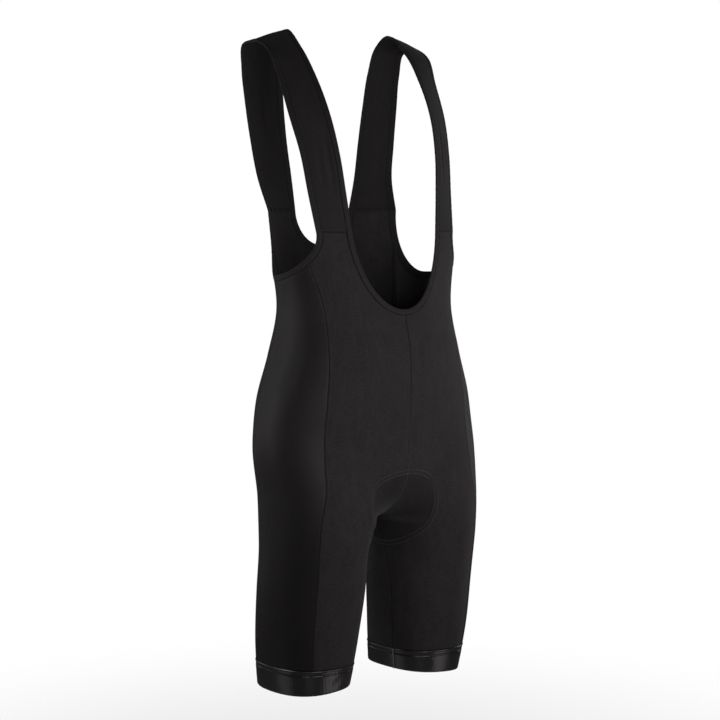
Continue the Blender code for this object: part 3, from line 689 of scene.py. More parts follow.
# %% Node helpers
def feed(tree, socket, value):
    """Links an input to another node's output, or sets it to a value."""
    if isinstance(value, bpy.types.NodeSocket):
        tree.links.new(value, socket)
    elif value is not None:
        socket.default_value = value


def set_inputs(tree, node, **values):
    for label, value in values.items():
        feed(tree, node.inputs[label.replace("_", " ")], value)
    return node


def add_node(tree, kind, **values):
    return set_inputs(tree, tree.nodes.new(kind), **values)


def calculator(tree):
    """A function that adds a Math node to this tree, and gives its result."""
    def calc(operation, *values):
        node = tree.nodes.new("ShaderNodeMath")
        node.operation = operation
        for socket, value in zip(node.inputs, values):
            feed(tree, socket, value)
        return node.outputs[0]
    return calc


def noise(tree, place, scale, detail, roughness):
    """Noise at a place. A scale of three numbers stretches it."""
    if isinstance(scale, tuple):
        place, scale = add_node(tree, "ShaderNodeMapping", Vector=place, Scale=scale).outputs[0], 1.0
    return add_node(tree, "ShaderNodeTexNoise", Vector=place, Scale=scale, Detail=detail,
                    Roughness=roughness).outputs["Fac"]


# %% The knit, as a node group
RELIEF = {"wales": 0.35, "courses": 0.15, "fuzz": 0.6}
FUZZ = {"scale": 1400, "detail": 2, "roughness": 0.5}      # scales are cycles a metre
GRAINS = table(           # what tints the knit: flecks and streaks in the cloth, clouds in space
    "follows scale detail roughness strength share",
    ("cloth", (150, 540, 1), 3, 0.60, "Melange", 1.00),
    ("cloth", (110, 18, 1), 2, 0.50, "Melange", 0.35),
    ("space", 55, 3, 0.55, "Mottling", 1.00),
)


def knit_group():
    """Puts out the stitches' height, and a tone around 0 that makes the colour lighter or darker."""
    group = bpy.data.node_groups.new("knit", "ShaderNodeTree")
    face = group.interface
    for way, labels in (("INPUT", ("Wale Pitch", "Course Pitch", "Melange", "Mottling")),
                        ("OUTPUT", ("Tone", "Height"))):
        for label in labels:
            face.new_socket(label, in_out=way, socket_type="NodeSocketFloat")
    given = add_node(group, "NodeGroupInput").outputs
    uv_map = add_node(group, "ShaderNodeUVMap")
    uv_map.uv_map = "cloth"
    places = {"cloth": uv_map.outputs["UV"], "space": add_node(group, "ShaderNodeTexCoord").outputs["Object"]}
    split = add_node(group, "ShaderNodeSeparateXYZ", Vector=places["cloth"]).outputs

    calc = calculator(group)
    wales, courses = (calc("COSINE", calc("MULTIPLY", calc("DIVIDE", split[axis], given[pitch]), 2 * pi))
                      for axis, pitch in (("X", "Wale Pitch"), ("Y", "Course Pitch")))
    fuzz = noise(group, places["space"], **FUZZ)
    height = 0.0
    for wave, part in ((wales, "wales"), (courses, "courses"), (fuzz, "fuzz")):
        height = calc("ADD", height, calc("MULTIPLY", wave, RELIEF[part]))
    tone = 0.0
    for grain in GRAINS:
        speckle = noise(group, places[grain["follows"]], grain["scale"], grain["detail"], grain["roughness"])
        strength = calc("MULTIPLY", given[grain["strength"]], grain["share"])
        tone = calc("ADD", tone, calc("MULTIPLY", calc("SUBTRACT", speckle, 0.5), strength))
    add_node(group, "NodeGroupOutput", Tone=tone, Height=height)
    return group


KNIT = knit_group()


# %% One function for every knitted finish
PAINTED_SHADE_STRENGTH = 0.55         # painted shade: the cloth's colour is this much darker where its mark is 1, as right at a seam
SHEEN_ROUGHNESS = 0.45


def add_cloth(name, colour, roughness, sheen, wale=0.0009, course=0.0012, melange=0.25, mottling=0.15,
              bump=0.00004, specular=0.3):
    """A fabric: its colour varies with the knit, and painted shade darkens it where its mark lies, as along
    the seams.
    """
    material = bpy.data.materials.new(name)
    material.use_nodes = True
    tree = material.node_tree
    knit = add_node(tree, "ShaderNodeGroup")
    knit.node_tree = KNIT
    set_inputs(tree, knit, Wale_Pitch=wale, Course_Pitch=course, Melange=melange, Mottling=mottling)
    mark = add_node(tree, "ShaderNodeAttribute")
    mark.attribute_name = "painted_shade_mark"
    calc = calculator(tree)
    painted_shade_factor = calc("SUBTRACT", 1.0, calc("MULTIPLY", mark.outputs["Fac"], PAINTED_SHADE_STRENGTH))
    light = calc("MULTIPLY", calc("ADD", knit.outputs["Tone"], 1.0), painted_shade_factor)
    grey = add_node(tree, "ShaderNodeCombineColor", Red=light, Green=light, Blue=light)
    tint = add_node(tree, "ShaderNodeMix")
    tint.data_type, tint.blend_type = "RGBA", "MULTIPLY"
    set_inputs(tree, tint, Factor=1.0, A=(*colour, 1), B=grey.outputs[0])
    relief = add_node(tree, "ShaderNodeBump", Distance=bump, Height=knit.outputs["Height"])
    set_inputs(tree, tree.nodes["Principled BSDF"], Base_Color=tint.outputs["Result"], Roughness=roughness,
               Specular_IOR_Level=specular, Sheen_Weight=sheen, Sheen_Roughness=SHEEN_ROUGHNESS,
               Normal=relief.outputs["Normal"])
    return material


FRONT_KNIT = add_cloth("front_knit", (0.0225, 0.0205, 0.0214), 0.80, 0.10, melange=1.3, mottling=0.60)
SIDE_KNIT = add_cloth("side_knit", (0.0090, 0.0077, 0.0083), 0.52, 0.06, wale=0.0006, course=0.0007,
                      melange=0.35, mottling=0.35, specular=0.31)
# painted shade: the straps are the front's knit, and this is a darker, shaded copy of its colour
STRAP_SHADED_KNIT = add_cloth("strap_shaded_knit", (0.0178, 0.0163, 0.0169), 0.80, 0.10, melange=0.8, mottling=0.35)
EDGE_KNIT = add_cloth("edge_knit", (0.0155, 0.0142, 0.0148), 0.72, 0.08, wale=0.0012, melange=0.35)
SATIN = add_cloth("satin_elastic", (0.0165, 0.0151, 0.0157), 0.23, 0.05, wale=0.0045, course=0.0011,
                  melange=0.60, mottling=0.60, bump=0.00008, specular=0.85)
PAD_CLOTH = add_cloth("pad_cloth", (0.0314, 0.0287, 0.0299), 0.88, 0.25, wale=0.0014, course=0.0014)
THREAD = add_cloth("thread", (0.0346, 0.0315, 0.0329), 0.55, 0.10, melange=0.1)
DARK_THREAD = add_cloth("dark_thread", (0.0084, 0.0076, 0.0080), 0.60, 0.05, melange=0.1)
# grey thread on the centre row: real stitches, whose lighter colour is a painted highlight along the centre
# ridge
GREY_PAINTED_HIGHLIGHT_THREAD = add_cloth("grey_painted_highlight_thread", (0.0640, 0.0590, 0.0610), 0.55, 0.10, melange=0.1)
# pale thread on the band's seam: real stitches, whose pale colour is a painted highlight for the light line
# the seam ridge catches
PALE_PAINTED_HIGHLIGHT_THREAD = add_cloth("pale_painted_highlight_thread", (0.240, 0.222, 0.230), 0.55, 0.10, melange=0.1)
OVERLOCK = add_cloth("overlock_thread", (0.0168, 0.0153, 0.0160), 0.80, 0.05, wale=0.0004, course=0.0016,
                     melange=0.4)
RIBBON_KNIT = add_cloth("ribbon_thread", (0.0390, 0.0356, 0.0372), 0.70, 0.15, wale=0.0005, course=0.0022,
                        melange=0.35)
print("finishes:", len(bpy.data.materials))

# %% [markdown]
# ## The panels
# Each panel fills the skin between two seams, from its top edge down to the leg band. Its columns
# start evenly along the top edge and spread to even spacing lower down. The six body panels are
# built from one function, because only their borders differ.

# %% Top edges of the panels
NECK_COLUMNS, SHOULDER_COLUMNS, ARM_COLUMNS, SIDE_COLUMNS, BACK_NECK_COLUMNS = 32, 16, 8, 40, 20
BODY_ROWS, RISE_ROWS, LEG_ROWS = 96, 56, 70
ROW_EASE = 1.5            # rows are finer near the top edge, for the roll of its seam


def shoulder_places(level, neck, arm):
    turns = between_edges(level, neck, arm, SHOULDER_COLUMNS + 1)
    return np.stack((turns, np.full_like(turns, level - SEAM_GAP / 2)), -1)


def inset_places(edge, phis):
    return np.stack(inset(edge, phis, PANEL_INSET), -1)


AT_SEAM = len(ROLL_SHARES) + 1      # columns left out where an edge meets the strap seam


def front_top():
    neck = inset_places(front_neck, fine_ends(0, pi / 2, NECK_COLUMNS)[:-AT_SEAM])
    arm = inset_places(front_armhole, fine_ends(pi / 2, FRONT_CROSSING, ARM_COLUMNS)[AT_SEAM:])
    return np.concatenate((neck, shoulder_places(*STRAP_ENDS[0][1:]), arm))


def side_top():
    phis = fine_ends(-FRONT_CROSSING, BACK_CROSSING, SIDE_COLUMNS)
    print(f"side panel's top edge: {np.degrees(FRONT_CROSSING + BACK_CROSSING):.0f} degrees of its armhole")
    return np.concatenate((inset_places(front_armhole, -phis[phis < 0]),
                           inset_places(back_armhole, phis[phis >= 0])))


def back_top():
    arm = inset_places(back_armhole, fine_ends(BACK_CROSSING, pi / 2, ARM_COLUMNS)[:-AT_SEAM])
    neck = inset_places(back_neck, fine_ends(pi / 2, 0, BACK_NECK_COLUMNS)[AT_SEAM:])
    return np.concatenate((arm, shoulder_places(*STRAP_ENDS[1][1:])[::-1], neck))


# %% Rows and columns of a panel
def panel_levels(top_level):
    """Levels down one column, from the top edge to the leg band."""
    body = np.linspace(0, 1, BODY_ROWS + 1)[:-1] ** ROW_EASE
    rise = np.linspace(RISE_TOP, RISE_END, RISE_ROWS + 1)[:-1]
    leg = fine_ends(RISE_END, BAND_TOP + SEAM_GAP / 2, LEG_ROWS)
    leg = np.delete(leg, slice(1, AT_SEAM))
    return np.concatenate((top_level + (RISE_TOP - top_level) * body, rise, leg))


def panel_places(top, near, far):
    """(turn, level) for every point of a panel."""
    run = lengths_along(skin(top[:, 0], top[:, 1]))
    at_top = (top[:, 0] - near(top[:, 1])) / (far(top[:, 1]) - near(top[:, 1]))
    at_top[0], at_top[-1] = 0.0, 1.0
    below = (run / run[-1] + at_top) / 2
    levels = np.stack([panel_levels(level) for level in top[:, 1]], -1)
    fade = smooth_step(np.arange(len(levels)) / BODY_ROWS)[:, None]
    share = at_top * (1 - fade) + below * fade
    return near(levels) + (far(levels) - near(levels)) * share, levels


def clear_of_seams(turns, levels, near_is_centre=False, far_is_centre=False):
    """Moves the first and last columns half a seam gap into the panel."""
    turns = turns.copy()
    for column, into, centre in ((0, 1, near_is_centre), (-1, -1, far_is_centre)):
        turn, level = turns[:, column], levels[:, column]
        run = np.linalg.norm(slopes(skin, turn, level)[0], axis=-1)
        moved = turn + into * SEAM_GAP / 2 / run
        turns[:, column] = np.where(centre & (level > RISE_END), turn, moved)
    return turns, levels


# %% Outer and inner faces of a panel, with its seams, puckers and creases
def cloth_faces(points, normals, distance, run, lift, tight):
    """The two faces of a piece, and its seam mark of painted shade. tight is how deep the cloth rolls into
    its seams, and how dark that shade is.
    """
    lift = (lift + pucker(distance, run))[..., None]
    outer = points + normals * (lift - (tight * seam_roll(distance))[..., None])
    inner = points + normals * (lift - CLOTH)
    return outer, inner, tight * np.exp(-((distance / SEAM_PAINTED_REACH) ** 2))


STRETCH = 1.08            # the cloth is this much wider on the body than as it was cut


def border(points):
    return [points[0], points[-1], points[:, 0], points[:, -1]]


def add_cloth_pair(name, points, normals, surface, creases, tight, material, flat, shade=0.0):
    """The left and right piece of one cut. They differ only in their creases."""
    distance, run = seam_distance(points, border(points))
    uv, made = grid_uv(points), []
    for side, mirrored in HALVES:
        lift = crease_lift(points, side, surface, creases)
        outer, inner, mark = cloth_faces(points, normals, distance, run, lift, tight)
        # painted shade, such as that over the pad, joins the seam mark here
        mark = np.maximum(mark, shade)
        made.append(add_wall(f"{name}_{side}_cloth", outer, inner, uv, material, mark, mirrored))
    print(f"{name}: {len(made[0].data.polygons)} faces, cut {flat[0]:.3f} x {flat[1]:.3f} m")
    return made


# %% Two effects where the pad lies
CENTRE_TIGHT = {"above": -0.445, "below": -0.485, "share": 0.30, "turn": radians(3), "fade": radians(1)}
PAD_PAINTED_SHADE, PAD_BLUR = 0.45, 0.02    # mark of painted shade on the cloth over the pad, and the blur of its outline


def seam_tightness(turns, levels):
    """The centre front seam lies flatter where the belly stretches it, down to the pad."""
    above, below, share, turn, fade = CENTRE_TIGHT.values()
    flat = smooth_step((above - levels) / (above - below))
    centre = smooth_step((turn + fade - turns) / fade) * (levels > RISE_TOP)
    return 1 - (1 - share) * flat * centre


def ellipse_of(outline):
    """Middle level and half height of a pad outline."""
    return (outline["top"] + outline["bottom"]) / 2, (outline["top"] - outline["bottom"]) / 2


def over_pad(turns, levels):
    """1 inside the outline of the pad, 0 outside it."""
    share = 0
    for outline, turn in ((PAD_FRONT, turns), (PAD_BACK, pi - turns)):
        middle, reach = ellipse_of(outline)
        out = np.hypot(turn / outline["half"], (levels - middle) / reach)
        share = np.maximum(share, smooth_step((1 + PAD_BLUR - out) / (2 * PAD_BLUR)))
    return share


# %% The six body panels
def add_panel(name, top, near, far, material, near_is_centre=False, far_is_centre=False):
    turns, levels = clear_of_seams(*panel_places(top, near, far), near_is_centre, far_is_centre)
    points, normals = on_skin(turns, levels)
    sides = np.diff(points, axis=0)[:, :-1], np.diff(points, axis=1)[:-1]
    area = np.linalg.norm(np.cross(*sides), axis=2).sum()
    girth = max(lengths_along(row)[-1] for row in points[::8])
    drop = max(lengths_along(points[:, column])[-1] for column in (0, -1))
    # the last value passed is the painted shade over the pad
    return add_cloth_pair(name, points, normals, skin, BODY_CREASES, seam_tightness(turns, levels), material,
                          (girth / STRETCH, drop, area / STRETCH), PAD_PAINTED_SHADE * over_pad(turns, levels))


FRONTS = add_panel("front", front_top(), inseam, side_front, FRONT_KNIT, near_is_centre=True)
SIDES = add_panel("side", side_top(), side_front, side_back, SIDE_KNIT)
BACKS = add_panel("back", back_top(), side_back, inseam_behind, FRONT_KNIT, far_is_centre=True)

# %% [markdown]
# ## The straps
# The straps are the same knit, cut along its length, in a darker copy of its colour that is painted
# shade. Their inner side shows where they pass over the back, so both faces count.

# %% Straps
STRAP_COLUMNS, STRAP_ROWS = 20, 180
STRAP_TIGHT, TIGHT_END = 0.15, 0.006    # the long edges roll in less than the seams at the ends


def add_straps():
    gap = SEAM_GAP / 2 / STRAP_LENGTH
    along = fine_ends(gap, 1 - gap, STRAP_ROWS)[:, None]
    margin = PANEL_INSET / strap_width(along)
    across = margin + (1 - 2 * margin) * fine_ends(0, 1, STRAP_COLUMNS)[None, :]
    along = np.broadcast_to(along, across.shape)
    tight = 1 - (1 - STRAP_TIGHT) * smooth_step(STRAP_LENGTH * np.minimum(along, 1 - along) / TIGHT_END)
    width, length = strap_width(np.linspace(0, 1, 50)) - 2 * PANEL_INSET, STRAP_LENGTH / STRETCH
    return add_cloth_pair("strap", strap(across, along), strap_outward(across, along), strap, STRAP_CREASES,
                          tight, STRAP_SHADED_KNIT, (width.max(), length, width.mean() * length))


STRAPS = add_straps()

# %% [markdown]
# ## The folded edges
# Neckline and armholes are finished with a narrow strip folded round the raw edge. Its section is a
# flat band with a round fold on the open side, and it rolls down into the seam on the other. One
# closed section is swept along the whole edge, over the skin and up the strap.

# %% Edge lines
EDGE_STEP = 0.0022        # between two stations of a folded edge
BAND_PROUD = 0.0005       # the fold stands out of the cloth on each face
FOLD_RADIUS = (CLOTH + 2 * BAND_PROUD) / 2
FOLD_WAVE = {"height": 0.00006, "pitches": (0.0061, 0.0099)}
FOLD_BEND = np.radians(np.linspace(75, -75, 7))
FOLD_INSIDE, FOLD_PAINTED_REACH = 0.8, 0.10      # share of the outer relief inside; reach of the painted shade along its seam
FOLD_TUCK = 0.0001        # its inner rim ends this deep in the cloth
BINDING_SECTION = (       # share of the width from the seam, and height over the cloth's outer face
    (0.00, -0.00060), (0.03, -0.00015), (0.09, 0.00022), (0.18, 0.00042), (0.40, BAND_PROUD),
    (0.65, BAND_PROUD), (0.86, BAND_PROUD),
)


def edge_on_skin(edge, phis):
    """Four lines of a folded edge: points and normals at its open side, then at its seam side."""
    return np.array([*on_skin(*edge(phis)), *on_skin(*inset(edge, phis, BINDING_WIDTH))])


def edge_on_strap(across, along):
    inside = np.abs(across - BINDING_WIDTH / strap_width(along))
    return np.array([surface(places, along) for places in (np.full_like(along, across), inside)
                     for surface in (strap, strap_outward)])


def evenly(lines):
    """The four lines of a closed edge with even steps between their stations, and those steps."""
    lines = np.concatenate((lines, lines[:, :1]), 1)
    run = lengths_along(lines[0])
    fine = np.linspace(0, run[-1], int(run[-1] / EDGE_STEP) + 1)[:-1]
    open_points, open_normals, seam_points, seam_normals = (read_line(line, run, fine) for line in lines)
    return open_points, unit(open_normals), seam_points, unit(seam_normals), fine


# %% The folded section and its sweep
def fold_section(sunk):
    """The whole closed section of a folded edge: outside, round the fold, and back inside."""
    outside = np.array(BINDING_SECTION)
    outside[:, 1] = np.where(outside[:, 1] < 0, sunk * outside[:, 1], outside[:, 1])
    centre = CLOTH / 2
    radius = FOLD_RADIUS / BINDING_WIDTH
    fold = np.stack((1 - radius + radius * np.cos(FOLD_BEND), -centre + FOLD_RADIUS * np.sin(FOLD_BEND)), -1)
    inside = np.stack((outside[::-1, 0], -CLOTH - outside[::-1, 1] * FOLD_INSIDE), -1)
    inside[-1, 1] = -CLOTH + FOLD_TUCK
    return np.concatenate((outside, fold, inside))


def sweep_fold(name, lines, material, mirrored=False, sunk=1.0):
    open_points, open_normals, seam_points, seam_normals, run = evenly(lines)
    profile = fold_section(sunk)
    across, height = profile[:, 0][None, :, None], profile[:, 1][None, :, None]
    points = seam_points[:, None] + (open_points - seam_points)[:, None] * across
    normals = unit(seam_normals[:, None] + (open_normals - seam_normals)[:, None] * across)
    wave = FOLD_WAVE["height"] * sum(np.sin(2 * pi * run / pitch) for pitch in FOLD_WAVE["pitches"])
    grid = points + normals * (height + wave[:, None, None] * np.sign(height + CLOTH / 2))
    around = lengths_along(np.concatenate((profile, profile[:1])) * (BINDING_WIDTH, 1))
    from_seam = 1 - np.abs(np.linspace(1, -1, len(profile)))
    # painted shade along the fold's seam side, less where it sinks less
    mark = np.broadcast_to(sunk * np.exp(-((from_seam / FOLD_PAINTED_REACH) ** 2)), grid.shape[:2])
    piece = add_tube(name, grid, sweep_uv(around[:-1], run), material, mark, mirrored)
    return piece, run[-1]


# %% The two edge lines and their folds
ARMHOLE_SUNK = 0.2        # an armhole's fold rolls into its seam less than that of the neck, and gets less painted shade there
UP = np.linspace(0, pi / 2, 90)


def neck_lines():
    left = np.concatenate((edge_on_skin(front_neck, UP), edge_on_strap(0.0, ALONG_STRAP[1:-1]),
                           edge_on_skin(back_neck, UP[::-1])), 1)
    left[:, [0, -1], 0] = 0.0
    return np.concatenate((left, left[:, -2:0:-1] * MIRROR), 1)


def armhole_lines():
    return np.concatenate((edge_on_skin(front_armhole, UP[::-1]), edge_on_skin(back_armhole, UP[1:]),
                           edge_on_strap(1.0, ALONG_STRAP[-2:0:-1])), 1)


NECK_LINE, ARMHOLE_LINE = neck_lines(), armhole_lines()
NECK_EDGE, NECK_LENGTH = sweep_fold("neck_binding_fold", NECK_LINE, EDGE_KNIT)
ARMHOLE_EDGES = []
for side, mirrored in HALVES:
    fold, ARMHOLE_LENGTH = sweep_fold(f"armhole_binding_{side}_fold", ARMHOLE_LINE, EDGE_KNIT, mirrored,
                                      ARMHOLE_SUNK)
    ARMHOLE_EDGES.append(fold)
print(f"neck edge {NECK_LENGTH:.3f} m, armhole edge {ARMHOLE_LENGTH:.3f} m")

# %% [markdown]
# ## The leg bands
# A band is a tube of satin elastic. At its top the cloth is turned over a seam, which makes a narrow
# roll, and a row of stitches under it holds the seam flat. The satin part then lies smooth down to
# a folded hem. A lathe would turn a round band, but a leg isn't round, so a section is swept round
# the skin instead. Its first rows are measured from the top, the last ones from the hem, and what
# lies between them stretches. On the inner leg the band's two ends are sewn together.

# %% Measures of a leg band
BAND_HEAD = table(        # millimetres under the top edge, and height over the cloth's outer face
    "down height",
    (0.0, -0.55), (0.25, -0.10), (0.6, 0.45),
    (1.0, 0.78), (1.5, 0.85), (2.0, 0.66),
    (2.5, 0.36), (3.2, 0.30), (4.6, 0.34),
    (5.7, 0.30), (6.2, 0.06), (6.6, -0.08),
    (7.0, 0.08), (7.6, 0.42), (9.0, 0.56),
)
BAND_FOOT = table(        # and over the hem
    "up height",
    (3.2, 0.56), (1.7, 0.52), (0.8, 0.34),
    (0.25, 0.02), (0.0, -0.35),
)
BAND_ROWS, BAND_STEP, BAND_INNER = 16, 0.0018, -0.0015
BAND_PLACES = 1441        # at which the way round a leg is measured
BAND_SEAM_WIDTH, BAND_SEAM_HEIGHT = 0.0008, 0.0005
BAND_SEAM_COLUMNS = np.linspace(-3, 3, 25)    # across the band's own seam, in its widths
BAND_SWELL, BAND_SWELL_AWAY = 0.4, 1.9
BAND_GROOVE = 0.0066      # the stitched groove under the roll
BAND_PAINTED_SHADE_LINES = ((BAND_TOP - BAND_GROOVE, 0.0006), (BAND_TOP, 0.0005))     # level and width of the lines of painted shade, in the groove and at the top seam
BAND_CREASES = table(
    "side start end width depth",
    ("left", (52, -0.8330), (64, -0.8440), 0.0050, 0.00030),
    ("left", (24, -0.8350), (36, -0.8400), 0.0045, 0.00025),
    ("left", (100, -0.8380), (118, -0.8340), 0.0055, 0.00030),
    ("right", (38, -0.8340), (47, -0.8450), 0.0050, 0.00035),
    ("right", (66, -0.8440), (84, -0.8360), 0.0060, 0.00030),
    ("right", (120, -0.8360), (134, -0.8430), 0.0055, 0.00030),
    ("left", (146, -0.8420), (160, -0.8350), 0.0050, 0.00030),
)


# %% Leg bands
def band_turns():
    """Even steps round a leg, with finer ones at the seam on the inner side."""
    fine = np.linspace(0, pi, BAND_PLACES)
    run = lengths_along(skin(fine, BAND_TOP))
    even = np.interp(np.arange(0, run[-1] - BAND_STEP / 2, BAND_STEP), run, fine)
    at_seam = np.interp(inseam(BAND_TOP), fine, run) + BAND_SEAM_COLUMNS * BAND_SEAM_WIDTH
    near = np.interp(at_seam, run, fine)
    return np.concatenate((even[even < near[0]], near, even[even > near[-1]]))


def band_levels(turns):
    """Levels and heights of the band's rows, for every column."""
    top, foot = BAND_TOP - SEAM_GAP / 2, hem(turns)
    down = np.array([row["down"] for row in BAND_HEAD]) / 1000
    up = np.array([row["up"] for row in BAND_FOOT]) / 1000
    share = np.linspace(0, 1, BAND_ROWS + 1)[1:-1, None]
    head, tail = np.broadcast_to(top - down[:, None], (len(down), len(turns))), foot + up[:, None]
    levels = np.concatenate((head, head[-1] + (tail[0] - head[-1]) * share, tail))
    ends = [row["height"] for row in BAND_HEAD], [row["height"] for row in BAND_FOOT]
    middle = ends[0][-1] + (ends[1][0] - ends[0][-1]) * share[:, 0]
    return levels, np.concatenate((ends[0], middle, ends[1])) / 1000


def add_leg_bands():
    turns = band_turns()
    levels, heights = band_levels(turns)
    grid_turns = np.broadcast_to(turns, levels.shape)
    points, normals = on_skin(grid_turns, levels)
    seam_line = skin(inseam(levels[:, 0]), levels[:, 0])
    from_seam = np.linalg.norm(points - seam_line[:, None], axis=-1) / BAND_SEAM_WIDTH
    swell = BAND_SWELL * np.exp(-((from_seam - BAND_SWELL_AWAY) ** 2))
    ridge = BAND_SEAM_HEIGHT * (np.exp(-from_seam**2) - swell)
    # painted shade in the groove and at the band's top seam
    groove = sum(np.exp(-((levels - level) / width) ** 2) for level, width in BAND_PAINTED_SHADE_LINES)
    made = []
    for side, mirrored in HALVES:
        lift = crease_lift(points, side, skin, BAND_CREASES) + ridge + heights[:, None]
        outer = points + normals * lift[..., None]
        inner = points + normals * BAND_INNER
        made.append(add_wall(f"leg_band_{side}_elastic", outer, inner, grid_uv(points), SATIN,
                             np.minimum(groove, 1), mirrored, ring=True))
    return made


LEG_BANDS = add_leg_bands()

# %% [markdown]
# ## The seat pad
# The pad is foam between two knits, moulded with channels that let it bend. Its solid has the right
# outline, so a copy of that is merged, made of four-sided faces again and subdivided. The channels
# are then pressed into the side that faces the body, as lines on the solid measured from the centre.

# %% Seat pad
PAD_CHANNELS = table(     # distance from the centre line, how far behind the middle plane it ends
    "beside front back width depth",
    (0.000, -0.110, 0.035, 0.0045, 0.0018),
    (0.027, -0.060, 0.030, 0.0035, 0.0013),
    (0.052, -0.030, 0.020, 0.0035, 0.0010),
)
PAD_SEEN_FROM = np.array((0, MIDDLE_Y, -0.50))      # inside the body, over the pad
CHANNEL_FADE = 0.02
PRESS_START, PRESS_OVER = 0.1, 0.4    # channels need foam that faces the body, from this cosine on
JOIN_FACES, JOIN_SHAPES, PAD_CUTS, PAD_SMOOTHING = radians(60), radians(80), 2, 0.4


def add_seat_pad():
    source = bpy.data.objects["seat_pad"]
    mesh = source.data.copy()
    mesh.transform(source.matrix_world)
    work = bmesh.new()
    work.from_mesh(mesh)
    bmesh.ops.remove_doubles(work, verts=work.verts, dist=1e-5)
    bmesh.ops.join_triangles(work, faces=work.faces, angle_face_threshold=JOIN_FACES,
                             angle_shape_threshold=JOIN_SHAPES)
    bmesh.ops.subdivide_edges(work, edges=work.edges, cuts=PAD_CUTS, use_grid_fill=True, smooth=0.0)
    bmesh.ops.smooth_vert(work, verts=work.verts, factor=PAD_SMOOTHING, use_axis_x=True, use_axis_y=True,
                          use_axis_z=True)
    work.to_mesh(mesh)
    work.free()
    pad = add_object("seat_pad_foam", mesh)
    places = np.array([vertex.co for vertex in mesh.vertices])
    normals = np.array([vertex.normal for vertex in mesh.vertices])
    facing_body = (unit(PAD_SEEN_FROM - places) * normals).sum(-1)
    share = smooth_step((facing_body - PRESS_START) / PRESS_OVER)
    press = 0.0
    for channel in PAD_CHANNELS:
        beside = (np.abs(places[:, 0]) - channel["beside"]) / channel["width"]
        ends = (smooth_step((places[:, 1] - channel["front"]) / CHANNEL_FADE)
                * smooth_step((channel["back"] - places[:, 1]) / CHANNEL_FADE))
        press += channel["depth"] * np.exp(-beside**2) * ends
    pressed = places - normals * (press * share)[:, None]
    mesh.vertices.foreach_set("co", pressed.reshape(-1).astype(np.float32))
    mesh.materials.clear()
    mesh.materials.append(PAD_CLOTH)
    mesh.shade_smooth()
    uv = mesh.uv_layers.new(name="cloth")
    for loop in mesh.loops:
        place = mesh.vertices[loop.vertex_index].co
        uv.data[loop.index].uv = (place.x, place.y - place.z)
    print("seat pad:", len(mesh.polygons), "faces")
    return pad


SEAT_PAD = add_seat_pad()

# %% [markdown]
# ## Lines on the finished garment
# Seams, stitches and ribbons all follow a line on the skin and lie so far to its side and so high
# over the cloth. The places of such a line are known as turn and level, so a step sideways in
# millimetres is worked back to those two numbers. Above the crotch the skin is a half, and a line
# at the centre carries on into its mirror image.

# %% Lines on the skin
RIPPLE = (0.00135, 0.0052, 0.0023)      # metres for a radian of each wave in a crinkled seam


def whole_skin(turn, level):
    """Points and normals of the skin, mirrored beyond the centre line above the crotch."""
    over = ((turn < 0) | (turn > pi)) & (level > RISE_END)
    turn = np.where(over, np.where(turn < 0, -turn, 2 * pi - turn), turn)
    flip = np.where(over[..., None], MIRROR, 1)
    return tuple(part * flip for part in on_skin(turn, level))


def skin_line(turn, level, beside=0.0, height=0.0):
    """A line on the skin, moved sideways and outwards, with the skin's normals."""
    points, normals = on_skin(turn, level)
    sideways = unit(np.cross(normals, np.gradient(points, axis=0)))
    points, normals = whole_skin(*stepped(turn, level, sideways * beside, *slopes(skin, turn, level)))
    return points + normals * height, normals


def even_places(turn, level, step):
    """The same places of a line, an even step apart on the skin."""
    run = lengths_along(skin(turn, level))
    fine = np.linspace(0, run[-1], max(int(run[-1] / step), 3))
    return np.interp(fine, run, turn), np.interp(fine, run, level)


def sweep_band(name, line, profile, material, closed=False, mirrored=False, waves=0.0, shade=0.0):
    """A closed section swept along a line on the skin. profile holds (beside, height) pairs."""
    sides = [line(beside=beside, height=height) for beside, height in profile]
    grid = np.stack([points for points, _ in sides], 1)
    run = lengths_along(grid[:, 0])
    if waves:
        fine, slow, middle = (run / length for length in RIPPLE)
        ripple = waves * (np.sin(fine) * np.sin(slow + 0.4) + np.sin(middle + 1))
        grid = grid + sides[0][1][:, None] * ripple[:, None, None]
    uv = sweep_uv(lengths_along(np.array(profile)), run)
    return add_tube(name, grid, uv, material, np.zeros(grid.shape[:2]) + shade, mirrored, hoop=closed)

# %% [markdown]
# ## The outline of the pad
# The pad is sewn to the shorts with a flatlock seam, a narrow ribbon of thread with a raised line
# along each side. It is one closed loop: up and over in front, down both inner legs, and behind.
# It could be a curve with a bevel, but the ribbon must lie flat on a skin that bends both ways.

# %% Pad outline
RIBBON_STEP = 0.0020
RIBBON = (                # across and over the cloth, in millimetres
    (-3.5, -0.40), (-3.4, 0.08), (-3.0, 0.34), (-2.45, 0.75), (-1.9, 0.38), (-1.1, 0.26), (0.0, 0.24),
    (1.1, 0.26), (1.9, 0.38), (2.45, 0.75), (3.0, 0.34), (3.4, 0.08), (3.5, -0.40), (0.0, -0.50),
)
RIBBON_PAINTED_SHADE = (0, 0, 0, 0, 0.7, 1, 1, 1, 0.7, 0, 0, 0, 0, 0)      # painted shade: the valley between the raised lines is painted darker


def pad_outline():
    """Places of the loop's left half, from centre front under the crotch to centre back."""
    down = np.linspace(0, pi, 400)
    places = []
    for outline, sweep, middle, side in ((PAD_FRONT, down, 0, 1), (PAD_BACK, down[::-1], pi, -1)):
        centre, reach = ellipse_of(outline)
        turn, level = middle + side * outline["half"] * np.sin(sweep), centre + reach * np.cos(sweep)
        places.append(even_places(turn, level, RIBBON_STEP))
    return places


PAD_PLACES = pad_outline()


